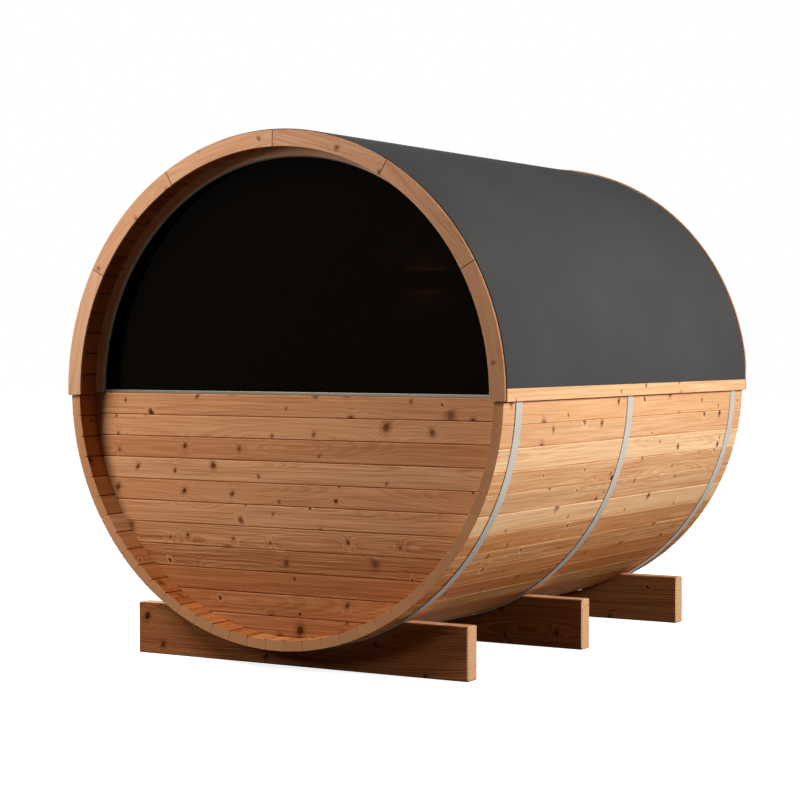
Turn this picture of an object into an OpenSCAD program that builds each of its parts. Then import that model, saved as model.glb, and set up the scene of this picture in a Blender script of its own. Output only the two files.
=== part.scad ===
// Barrel sauna on three timber cradles.
// The barrel axis lies along Y, Z is up and the origin is on the ground at mid-length.
// The end with the half-moon window faces -Y, the end with the door faces +Y.

/* [Barrel] */
// Radius of the barrel over the outer corners of the staves
barrel_r = 1030; // [900:10:1240]
// Length of the staves
stave_l = 2390; // [1800:10:3600]
// Thickness of a stave
stave_t = 42; // [30:1:60]
// Staves in each of the five lower segments of the round wall; the six upper ones have one less
lower_segment_staves = 7; // [6:1:9]
// Gap left between neighbouring pieces of joinery
fit_gap = 0.3; // [0.2:0.1:0.6]

/* [Cradles] */
// Width of a cradle across the barrel
cradle_w = 1590; // [1300:10:1900]
// Height of a cradle
cradle_h = 214; // [170:2:280]
// Thickness of a cradle along the barrel
cradle_t = 74; // [50:2:110]
// Timber left under the barrel at the middle of a cradle
cradle_web = 82; // [50:2:120]
// Distance from the stave ends to the outer cradles
cradle_inset = 151; // [80:1:400]

/* [Hoops] */
// Width of a steel hoop
hoop_w = 52; // [30:1:60]
// Thickness of a steel hoop
hoop_t = 3; // [2:0.5:5]
// Space between a hoop and the cradle beside it
hoop_to_cradle = 3; // [1:1:20]

/* [Roof] */
// Thickness of the lath underlay that the membrane lies on
underlay_t = 11; // [8:1:20]
// Thickness of the roof membrane
membrane_t = 3; // [2:0.5:6]
// Space left beside a hoop where the underlay breaks for it
underlay_break = 3; // [1:1:10]
// Height of an eave batten
batten_h = 49; // [30:1:80]
// Thickness of an eave batten
batten_t = 15; // [12:1:30]
// Depth left over a hoop where it passes behind a batten
batten_notch = 1; // [0.5:0.5:3]

/* [Arch fascias] */
// Thickness of the boards that close the roof at both ends
fascia_t = 12; // [8:1:25]
// Outer radius of the front fascia less the barrel radius
fascia_rise = 10; // [4:1:14]
// Outer radius of the rear fascia less the barrel radius; it covers the ends of the roof layers
rear_fascia_rise = 21; // [12:1:30]
// Width of the fascia boards
fascia_w = 66; // [54:1:90]
// Number of boards in one arch
fascia_boards = 6; // [4:1:8]
// Open joint between two fascia boards
fascia_joint = 1.5; // [1:0.5:3]

/* [End walls] */
// How far the end walls stand in from the stave ends
wall_setback = 103; // [40:1:250]
// Thickness of an end wall
wall_t = 44; // [36:1:60]

/* [Half-moon window] */
// Width of the timber ring around the glass
ring_w = 40; // [30:1:70]
// Distance from the face of the ring back to the glass
glass_setback = 21; // [14:1:24]
// Thickness of the window glass and the door glass
glass_t = 8; // [6:1:10]
// How far the glass reaches into its rebates
glass_lap = 8; // [5:1:12]
// Height of the metal sill rail under the glass
sill_h = 13; // [8:1:24]
// Depth of the metal sill rail
sill_d = 34; // [26:1:40]
// Width of the metal bead that holds the glass along the arch
bead_w = 4; // [3:1:8]
// Depth of that bead
bead_d = 10; // [6:1:12]

/* [Door] */
// Width of the opening in the rear wall
opening_w = 700; // [600:10:820]
// Height of the top of the opening above the barrel axis
opening_top = 820; // [640:10:840]
// Depth of the foot of the opening below the barrel axis
opening_foot = 880; // [700:10:900]
// Thickness of the jambs, head and threshold
jamb_t = 35; // [25:1:50]
// How far the door frame stands proud of each face of the wall
jamb_proud = 8; // [4:1:20]
// Gap around the door leaf
leaf_gap = 3; // [2:1:6]
// Thickness of the door leaf
leaf_t = 40; // [32:1:44]
// Width of the stiles and the top rail of the leaf
stile_w = 85; // [60:1:110]
// Height of the bottom rail of the leaf
bottom_rail_h = 160; // [100:5:260]
// Length of the upright door pull
pull_l = 420; // [200:10:600]
// Diameter of the door pull
pull_d = 28; // [20:1:36]
// Space between the leaf and the door pull
pull_reach = 38; // [30:1:60]
// Length of a hinge
hinge_l = 110; // [80:5:140]
// Diameter of a hinge knuckle
hinge_d = 14; // [10:1:18]
// Width of a hinge plate on each side of the knuckle
hinge_plate_w = 30; // [20:1:34]
// Thickness of a hinge plate
hinge_plate_t = 3; // [2:0.5:4]

/* [Wall lamp] */
// Width of the lamp shade on the inside of the rear wall
lamp_w = 266; // [180:2:300]
// Height of the lamp shade
lamp_h = 93; // [60:1:160]
// Depth of the lamp shade
lamp_d = 80; // [60:2:120]
// Thickness of the boards of the shade
lamp_t = 12; // [8:1:18]
// Distance from the barrel axis sideways to the middle of the lamp
lamp_x = 608; // [560:2:640]
// Height of the middle of the lamp above the barrel axis
lamp_z = 508; // [300:2:540]

/* [Hidden] */
$fn = 180;

// Height of the barrel axis above the ground
axis_z = barrel_r + cradle_web;
// Half the length of the staves
half_l = stave_l / 2;

// The staves: five segments below the eaves and six above them
lower_segments = 5;
upper_segments = 6;
upper_segment_staves = lower_segment_staves - 1;
lower_staves = lower_segments * lower_segment_staves;
upper_staves = upper_segments * upper_segment_staves;
stave_step = 360 / (lower_staves + upper_staves);
// Angle below the axis line of the stave joint under each eave batten
eave_joint = (180 - lower_staves * stave_step) / 2;
// Inner corner radius, and the radius of the largest round piece that fits inside
inner_r = barrel_r - stave_t;
inner_flat_r = inner_r * cos(stave_step / 2);
end_r = inner_flat_r - fit_gap;

// Places of the cradles and hoops along the barrel, from the front stave ends
cradle_at = [cradle_inset, half_l - cradle_t / 2, stave_l - cradle_inset - cradle_t];
hoop_at = [
    cradle_at[0] - hoop_to_cradle - hoop_w,
    cradle_at[1] - hoop_to_cradle - hoop_w,
    cradle_at[2] + cradle_t + hoop_to_cradle
];
hoop_in_r = barrel_r + fit_gap;
hoop_out_r = hoop_in_r + hoop_t;

// The eave battens hang with their foot at the stave joint
batten_foot = barrel_r * sin(-eave_joint);
batten_top = batten_foot + batten_h;
batten_in_x = barrel_r + fit_gap;
batten_out_x = batten_in_x + batten_t;

// The roof layers over the staves
underlay_in_r = barrel_r + fit_gap;
underlay_out_r = underlay_in_r + underlay_t;
membrane_in_r = underlay_out_r + fit_gap;
membrane_out_r = membrane_in_r + membrane_t;
roof_foot = batten_top + fit_gap;

// The arch fascias
fascia_out_r = barrel_r + fascia_rise;
rear_fascia_out_r = barrel_r + rear_fascia_rise;
fascia_sweep = (180 + 2 * eave_joint) / fascia_boards;

// End walls, measured inwards from the outer face of each
front_face_y = -half_l + wall_setback;
front_back_y = front_face_y + wall_t;
rear_face_y = half_l - wall_setback;
rear_inner_y = rear_face_y - wall_t;

// The half-moon window: glass bottom on the axis, sill rail below it
ring_in_r = end_r - ring_w;
glass_r = ring_in_r + glass_lap;
glass_y = front_face_y + glass_setback;
glass_back_y = glass_y + glass_t;
sill_foot = -sill_h;
sill_y = glass_y + glass_t / 2 - sill_d / 2;

// The door leaf inside its frame
leaf_w = opening_w - 2 * jamb_t - 2 * leaf_gap;
leaf_foot = -opening_foot + jamb_t + leaf_gap;
leaf_top = opening_top - jamb_t - leaf_gap;
leaf_h = leaf_top - leaf_foot;
leaf_outer_y = rear_face_y + jamb_proud;
leaf_inner_y = leaf_outer_y - leaf_t;
pane_w = leaf_w - 2 * stile_w;
pane_foot = leaf_foot + bottom_rail_h;
pane_top = leaf_top - stile_w;
pull_x = leaf_w / 2 - stile_w / 2;
pull_mid = (leaf_foot + leaf_top) / 2;
pull_r = pull_d / 2;
hinge_x = -leaf_w / 2 - leaf_gap / 2;
hinge_from_end = 220;
far = 3 * barrel_r;

pine = "BurlyWood";
shaded_pine = "Peru";
timber = "Sienna";
steel = "Silver";
slate = "DimGray";
tinted = [0.05, 0.05, 0.05, 0.85];

// Turns a flat outline drawn in X and height into a slab from y0 to y1 along the barrel.
// Height is measured from the barrel axis.
module across(y0, y1) {
    translate([0, y1, axis_z])
        rotate([90, 0, 0])
            linear_extrude(height = y1 - y0)
                children();
}

// Outline of the run of staves whose joints start at angle a0, a polygon of flat boards
module stave_outline(a0, count) {
    outer = [for (i = [0 : count]) barrel_r * [cos(a0 + i * stave_step), sin(a0 + i * stave_step)]];
    inner = [for (i = [count : -1 : 0]) inner_r * [cos(a0 + i * stave_step), sin(a0 + i * stave_step)]];
    polygon(concat(outer, inner));
}

// A flat sector from angle a0 to a1, wide enough to cut any ring of the barrel
module sector(a0, a1) {
    steps = 8;
    rim = [for (i = [0 : steps]) far * [cos(a0 + (a1 - a0) * i / steps), sin(a0 + (a1 - a0) * i / steps)]];
    polygon(concat([[0, 0]], rim));
}

module ring_outline(r_in, r_out) {
    difference() {
        circle(r = r_out);
        circle(r = r_in);
    }
}

// Everything higher than a level above the axis
module above(level) {
    translate([-far, level]) square([2 * far, far]);
}

module cradle(index) {
    y0 = -half_l + cradle_at[index];
    color(timber)
        across(y0, y0 + cradle_t)
            difference() {
                translate([-cradle_w / 2, -axis_z]) square([cradle_w, cradle_h]);
                circle(r = barrel_r + fit_gap);
            }
}

// Segments 1 to 5 run below from left to right, 6 to 11 close the top from right to left
module barrel_wall(segment) {
    lower = segment <= lower_segments;
    count = lower ? lower_segment_staves : upper_segment_staves;
    start = lower
        ? 180 + eave_joint + (segment - 1) * count * stave_step
        : -eave_joint + (segment - 1 - lower_segments) * count * stave_step;
    color(pine)
        across(-half_l, half_l)
            stave_outline(start, count);
}

module hoop(index) {
    y0 = -half_l + hoop_at[index];
    color(steel)
        across(y0, y0 + hoop_w)
            ring_outline(hoop_in_r, hoop_out_r);
}

// Laths in four bays, broken where the hoops cross
module roof_underlay() {
    bay_starts = concat([0], [for (at = hoop_at) at + hoop_w + underlay_break]);
    bay_ends = concat([for (at = hoop_at) at - underlay_break], [stave_l]);
    color(shaded_pine)
        for (bay = [0 : len(hoop_at)])
            across(-half_l + bay_starts[bay], -half_l + bay_ends[bay])
                intersection() {
                    ring_outline(underlay_in_r, underlay_out_r);
                    above(roof_foot);
                }
}

module roof_membrane() {
    color(slate)
        across(-half_l, half_l)
            intersection() {
                ring_outline(membrane_in_r, membrane_out_r);
                above(roof_foot);
            }
}

// side is 1 on the right and -1 on the left
module eave_batten(side) {
    notch_depth = hoop_out_r - batten_in_x + batten_notch;
    color(pine)
        difference() {
            translate([side > 0 ? batten_in_x : -batten_out_x, -half_l, axis_z + batten_foot])
                cube([batten_t, stave_l, batten_h]);
            for (at = hoop_at)
                translate([
                    side > 0 ? batten_in_x - batten_notch : -batten_in_x - notch_depth,
                    -half_l + at - underlay_break,
                    axis_z + batten_foot - batten_notch
                ])
                    cube([
                        notch_depth + batten_notch,
                        hoop_w + 2 * underlay_break,
                        batten_h + 2 * batten_notch
                    ]);
        }
}

// One arch of separate boards, standing on the stave ends from y0 outwards to y1; its feet are cut
// in line with the roof membrane
module arch_fascia(y0, y1, out_r) {
    half_joint = fascia_joint / (2 * out_r) * 180 / PI;
    color(shaded_pine)
        for (i = [0 : fascia_boards - 1]) {
            a0 = -eave_joint + i * fascia_sweep;
            across(y0, y1)
                intersection() {
                    ring_outline(out_r - fascia_w, out_r);
                    sector(a0 + half_joint, a0 + fascia_sweep - half_joint);
                    square([2 * membrane_out_r, 4 * barrel_r], center = true);
                }
        }
}

// Plank wall under the half-moon window
module front_wall() {
    color(shaded_pine)
        across(front_face_y, front_back_y)
            difference() {
                circle(r = end_r);
                above(sill_foot);
            }
}

// Timber ring over the wall, rebated at the back for the glass
module window_ring() {
    color(shaded_pine)
        difference() {
            across(front_face_y, front_back_y)
                intersection() {
                    ring_outline(ring_in_r, end_r);
                    above(sill_foot);
                }
            across(glass_y, front_back_y + 1)
                circle(r = glass_r + fit_gap);
        }
}

module window_glass() {
    color(tinted)
        across(glass_y, glass_back_y)
            intersection() {
                circle(r = glass_r);
                above(0);
            }
}

// Thin metal bead in front of the glass, inside the ring
module window_bead() {
    color(steel)
        across(glass_y - bead_d, glass_y)
            intersection() {
                ring_outline(ring_in_r - fit_gap - bead_w, ring_in_r - fit_gap);
                above(0);
            }
}

module window_sill() {
    sill_half_w = ring_in_r * cos(asin(sill_h / ring_in_r)) - fit_gap;
    color(steel)
        translate([-sill_half_w, sill_y, axis_z + sill_foot])
            cube([2 * sill_half_w, sill_d, sill_h]);
}

// The rear wall in four plain pieces around the door opening
module rear_wall_side(side) {
    color(shaded_pine)
        across(rear_inner_y, rear_face_y)
            intersection() {
                circle(r = end_r);
                translate([side > 0 ? opening_w / 2 : -far - opening_w / 2, -far])
                    square([far, 2 * far]);
            }
}

module rear_wall_over_door() {
    color(shaded_pine)
        across(rear_inner_y, rear_face_y)
            intersection() {
                circle(r = end_r);
                translate([-opening_w / 2, opening_top]) square([opening_w, far]);
            }
}

module rear_wall_below_door() {
    color(shaded_pine)
        across(rear_inner_y, rear_face_y)
            intersection() {
                circle(r = end_r);
                translate([-opening_w / 2, -opening_foot - far]) square([opening_w, far]);
            }
}

module door_frame() {
    opening_h = opening_top + opening_foot;
    color(pine)
        across(rear_inner_y - jamb_proud, rear_face_y + jamb_proud)
            difference() {
                translate([-opening_w / 2, -opening_foot]) square([opening_w, opening_h]);
                translate([-opening_w / 2 + jamb_t, -opening_foot + jamb_t])
                    square([opening_w - 2 * jamb_t, opening_h - 2 * jamb_t]);
            }
}

// Stiles and rails around the pane, with a groove in the middle that holds the glass
module door_leaf() {
    color(pine)
        difference() {
            across(leaf_inner_y, leaf_outer_y)
                difference() {
                    translate([-leaf_w / 2, leaf_foot]) square([leaf_w, leaf_h]);
                    translate([-pane_w / 2, pane_foot]) square([pane_w, pane_top - pane_foot]);
                }
            door_glass_slab(fit_gap);
        }
}

// The pane of the door, grown by a clearance
module door_glass_slab(grow) {
    middle_y = (leaf_inner_y + leaf_outer_y) / 2;
    across(middle_y - glass_t / 2 - grow, middle_y + glass_t / 2 + grow)
        translate([-pane_w / 2 - glass_lap - grow, pane_foot - glass_lap - grow])
            square([pane_w + 2 * (glass_lap + grow), pane_top - pane_foot + 2 * (glass_lap + grow)]);
}

module door_glass() {
    color(tinted) door_glass_slab(0);
}

// Upright round bar on two posts on the outside of the leaf
module door_pull() {
    bar_y = leaf_outer_y + pull_reach + pull_r;
    post_from_end = 60;
    color(steel) {
        translate([pull_x, bar_y, axis_z + pull_mid - pull_l / 2]) cylinder(h = pull_l, d = pull_d);
        for (end = [-1, 1])
            translate([pull_x, leaf_outer_y, axis_z + pull_mid + end * (pull_l / 2 - post_from_end)])
                rotate([-90, 0, 0])
                    cylinder(h = pull_reach + pull_r, d = pull_d * 0.6);
    }
}

// Butt hinges on the outside, one plate on the frame and one on the leaf
module door_hinges() {
    color(steel)
        for (at = [leaf_foot + hinge_from_end, (leaf_foot + leaf_top) / 2, leaf_top - hinge_from_end])
            translate([hinge_x, leaf_outer_y, axis_z + at - hinge_l / 2]) {
                translate([-hinge_plate_w, 0, 0]) cube([2 * hinge_plate_w, hinge_plate_t, hinge_l]);
                translate([0, hinge_d / 2, 0]) cylinder(h = hinge_l, d = hinge_d);
            }
}

// Open shade on the inside of the rear wall, lit above and below
module wall_lamp() {
    color(shaded_pine)
        translate([-lamp_x - lamp_w / 2, rear_inner_y - lamp_d, axis_z + lamp_z - lamp_h / 2])
            difference() {
                cube([lamp_w, lamp_d, lamp_h]);
                translate([lamp_t, lamp_t, -1])
                    cube([lamp_w - 2 * lamp_t, lamp_d, lamp_h + 2]);
            }
}

cradle(0);  // cradle_front
cradle(1);  // cradle_middle
cradle(2);  // cradle_rear
barrel_wall(1);  // barrel_wall_01
barrel_wall(2);  // barrel_wall_02
barrel_wall(3);  // barrel_wall_03
barrel_wall(4);  // barrel_wall_04
barrel_wall(5);  // barrel_wall_05
barrel_wall(6);  // barrel_wall_06
barrel_wall(7);  // barrel_wall_07
barrel_wall(8);  // barrel_wall_08
barrel_wall(9);  // barrel_wall_09
barrel_wall(10);  // barrel_wall_10
barrel_wall(11);  // barrel_wall_11
hoop(0);  // hoop_front
hoop(1);  // hoop_middle
hoop(2);  // hoop_rear
roof_underlay();
roof_membrane();
eave_batten(-1);  // eave_batten_left
eave_batten(1);  // eave_batten_right
arch_fascia(-half_l - fascia_t, -half_l, fascia_out_r);  // front_fascia
arch_fascia(half_l, half_l + fascia_t, rear_fascia_out_r);  // rear_fascia
front_wall();
window_ring();
window_glass();
window_bead();
window_sill();
rear_wall_side(-1);  // rear_wall_left
rear_wall_side(1);  // rear_wall_right
rear_wall_over_door();
rear_wall_below_door();
door_frame();
door_leaf();
door_glass();
door_pull();
door_hinges();
wall_lamp();
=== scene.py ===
"""Looks of a barrel sauna: boards with their grain and knots, steel hoops, roof membrane and tinted glass.

The barrel axis lies along Y, Z is up and the origin is on the ground at mid-length. The end with the
half-moon window faces -Y and the end with the door faces +Y. Lengths are in metres. Angles are in radians
and run about the barrel axis from +X over the top.
"""

import logging
from dataclasses import dataclass
from enum import Enum
from functools import cache
from typing import Callable, Optional, Sequence, Union

import bpy
import numpy as np
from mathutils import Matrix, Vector


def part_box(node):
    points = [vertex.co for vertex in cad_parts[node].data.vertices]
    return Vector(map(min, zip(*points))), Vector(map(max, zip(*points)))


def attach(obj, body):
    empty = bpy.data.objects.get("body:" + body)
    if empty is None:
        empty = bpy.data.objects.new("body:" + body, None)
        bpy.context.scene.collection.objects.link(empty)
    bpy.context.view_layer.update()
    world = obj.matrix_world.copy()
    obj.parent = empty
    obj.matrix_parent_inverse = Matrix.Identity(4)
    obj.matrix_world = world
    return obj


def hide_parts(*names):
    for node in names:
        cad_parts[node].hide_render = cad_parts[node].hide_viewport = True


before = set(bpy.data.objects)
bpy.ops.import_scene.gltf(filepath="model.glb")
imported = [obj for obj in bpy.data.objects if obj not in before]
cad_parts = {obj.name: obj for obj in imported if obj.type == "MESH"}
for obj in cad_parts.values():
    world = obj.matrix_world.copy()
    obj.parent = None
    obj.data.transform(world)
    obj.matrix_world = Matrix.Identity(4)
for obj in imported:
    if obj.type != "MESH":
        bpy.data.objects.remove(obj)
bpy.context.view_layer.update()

Array = np.ndarray
Colour = tuple[float, float, float, float]
Pair = tuple[float, float]
Point = tuple[float, float, float]
ROOT = "root"
HOOPS = ("hoop_front", "hoop_middle", "hoop_rear")
log = logging.getLogger("barrel_sauna")


# ---------------------------------------------------------------- shader kit


def srgb(red: float, green: float, blue: float) -> Colour:
    """Turns display values from 0 to 255 into a linear colour.

    Args:
        red: Red display value.
        green: Green display value.
        blue: Blue display value.

    Returns:
        The linear colour with an alpha of one.
    """
    display = np.array((red, green, blue)) / 255.0
    linear = np.where(display <= 0.04045, display / 12.92, ((display + 0.055) / 1.055) ** 2.4)
    return (*linear.tolist(), 1.0)


def tint(colour: Colour, factor: float) -> Colour:
    """The same colour, made lighter or darker by a factor."""
    return (*(channel * factor for channel in colour[:3]), 1.0)


class Signal:
    """A shader socket that joins in Python arithmetic, where each operator adds a Math node."""

    def __init__(self, graph: "Graph", socket: bpy.types.NodeSocket) -> None:
        """Keeps the socket and the graph it belongs to."""
        self.graph = graph
        self.socket = socket

    def __add__(self, other: "Operand") -> "Signal":
        """Sum of two values."""
        return self.graph.math("ADD", self, other)

    def __sub__(self, other: "Operand") -> "Signal":
        """This value less the other."""
        return self.graph.math("SUBTRACT", self, other)

    def __rsub__(self, other: "Operand") -> "Signal":
        """The other value less this one."""
        return self.graph.math("SUBTRACT", other, self)

    def __mul__(self, other: "Operand") -> "Signal":
        """Product of two values."""
        return self.graph.math("MULTIPLY", self, other)

    def __truediv__(self, other: "Operand") -> "Signal":
        """This value over the other."""
        return self.graph.math("DIVIDE", self, other)

    def __rtruediv__(self, other: "Operand") -> "Signal":
        """The other value over this one."""
        return self.graph.math("DIVIDE", other, self)

    def __pow__(self, other: "Operand") -> "Signal":
        """This value raised to the other."""
        return self.graph.math("POWER", self, other)

    __radd__ = __add__
    __rmul__ = __mul__


Operand = Union[Signal, float]


class Graph:
    """The node tree of one material or world."""

    def __init__(self, owner: Union[bpy.types.Material, bpy.types.World]) -> None:
        """Empties the owner's node tree."""
        owner.use_nodes = True
        self.nodes = owner.node_tree.nodes
        self.links = owner.node_tree.links
        self.nodes.clear()

    def add(self, kind: str, settings: dict, inputs: dict, output: Union[int, str] = 0) -> Signal:
        """Adds a node.

        Args:
            kind: Blender's name for the node type.
            settings: Properties of the node, set before its sockets.
            inputs: Values or signals by socket name or number.
            output: Name or number of the output that is wanted.

        Returns:
            The wanted output, or the first input of a node without outputs.
        """
        node = self.nodes.new(kind)
        for key, value in settings.items():
            setattr(node, key, value)
        for key, value in inputs.items():
            if isinstance(value, Signal):
                self.links.new(value.socket, node.inputs[key])
            else:
                node.inputs[key].default_value = value
        return Signal(self, node.outputs[output]) if node.outputs else Signal(self, node.inputs[0])

    def output_of(self, signal: Signal, name: str) -> Signal:
        """Another output of the node that a signal comes from."""
        return Signal(self, signal.socket.node.outputs[name])

    def math(self, operation: str, *values: Operand, clamp: bool = False) -> Signal:
        """Adds a Math node.

        Args:
            operation: Name of the operation.
            values: Its inputs in order.
            clamp: True to keep the result between zero and one.

        Returns:
            The result.
        """
        settings = {"operation": operation, "use_clamp": clamp}
        return self.add("ShaderNodeMath", settings, dict(enumerate(values)))

    def split(self, vector: Signal) -> tuple[Signal, Signal, Signal]:
        """Splits a vector or colour into its three values."""
        first = self.add("ShaderNodeSeparateXYZ", {}, {0: vector})
        return first, self.output_of(first, "Y"), self.output_of(first, "Z")

    def vector(self, x: Operand, y: Operand, z: Operand = 0.0) -> Signal:
        """Joins three values into a vector."""
        return self.add("ShaderNodeCombineXYZ", {}, {0: x, 1: y, 2: z})

    def place(self) -> Signal:
        """Object coordinates in metres."""
        return self.add("ShaderNodeTexCoord", {}, {}, "Object")

    def scaled_place(self, x: float, y: float, z: float) -> Signal:
        """Object coordinates, each multiplied by its own factor."""
        return self.add("ShaderNodeMapping", {}, {"Vector": self.place(), "Scale": (x, y, z)})

    def attribute(self, name: str, output: str = "Vector") -> Signal:
        """Reads an attribute of the mesh."""
        return self.add("ShaderNodeAttribute", {"attribute_name": name}, {}, output)

    def noise(self, vector: Signal, detail: float = 2.0, output: str = "Fac") -> Signal:
        """Three-dimensional noise whose features are about one unit long.

        Args:
            vector: Place, already scaled.
            detail: Number of finer layers.
            output: "Fac" for a value or "Color" for three of them.

        Returns:
            Values spread about a half.
        """
        inputs = {"Vector": vector, "Scale": 1.0, "Detail": detail}
        return self.add("ShaderNodeTexNoise", {"noise_dimensions": "3D"}, inputs, output)

    def noise_line(self, place: Signal, detail: float = 1.0) -> Signal:
        """One-dimensional noise whose features are about one unit long."""
        inputs = {"W": place, "Scale": 1.0, "Detail": detail}
        return self.add("ShaderNodeTexNoise", {"noise_dimensions": "1D"}, inputs, "Fac")

    def smooth(self, value: Operand, low: float, high: float) -> Signal:
        """Rises smoothly from zero at low to one at high; low may be the larger."""
        settings = {"interpolation_type": "SMOOTHSTEP", "clamp": True}
        if low < high:
            return self.add("ShaderNodeMapRange", settings, {"Value": value, 1: low, 2: high})
        return 1.0 - self.add("ShaderNodeMapRange", settings, {"Value": value, 1: high, 2: low})

    def mix(self, factor: Operand, first: Union[Signal, Colour], second: Union[Signal, Colour]) -> Signal:
        """Mixes two colours, the first where the factor is zero."""
        settings = {"data_type": "RGBA", "clamp_factor": True}
        return self.add("ShaderNodeMix", settings, {0: factor, 6: first, 7: second}, 2)

    def scale(self, colour: Signal, factor: Operand) -> Signal:
        """Multiplies a colour by one value."""
        return self.add("ShaderNodeVectorMath", {"operation": "SCALE"}, {0: colour, "Scale": factor})

    def bump(self, height: Signal, distance: float, strength: float = 1.0) -> Signal:
        """Normal of a relief whose height from zero to one stands for a distance in metres."""
        return self.add("ShaderNodeBump", {}, {"Height": height, "Distance": distance, "Strength": strength})

    def principled(self, **sockets: Union[Operand, Colour]) -> Signal:
        """Adds the main shader; an underscore in a name stands for a space."""
        inputs = {name.replace("_", " "): value for name, value in sockets.items()}
        return self.add("ShaderNodeBsdfPrincipled", {}, inputs)

    def surface(self, shader: Signal) -> None:
        """Sends a shader to the surface."""
        self.add("ShaderNodeOutputMaterial", {}, {"Surface": shader})


class Finish:
    """What all finishes share: a name and one material."""

    name: str

    @cache
    def material(self) -> bpy.types.Material:
        """The material of this finish, made when it is first asked for."""
        made = bpy.data.materials.new(self.name)
        self.paint(Graph(made))
        return made

    def paint(self, graph: Graph) -> None:
        """Builds the node tree; each finish has its own."""
        raise NotImplementedError


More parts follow.
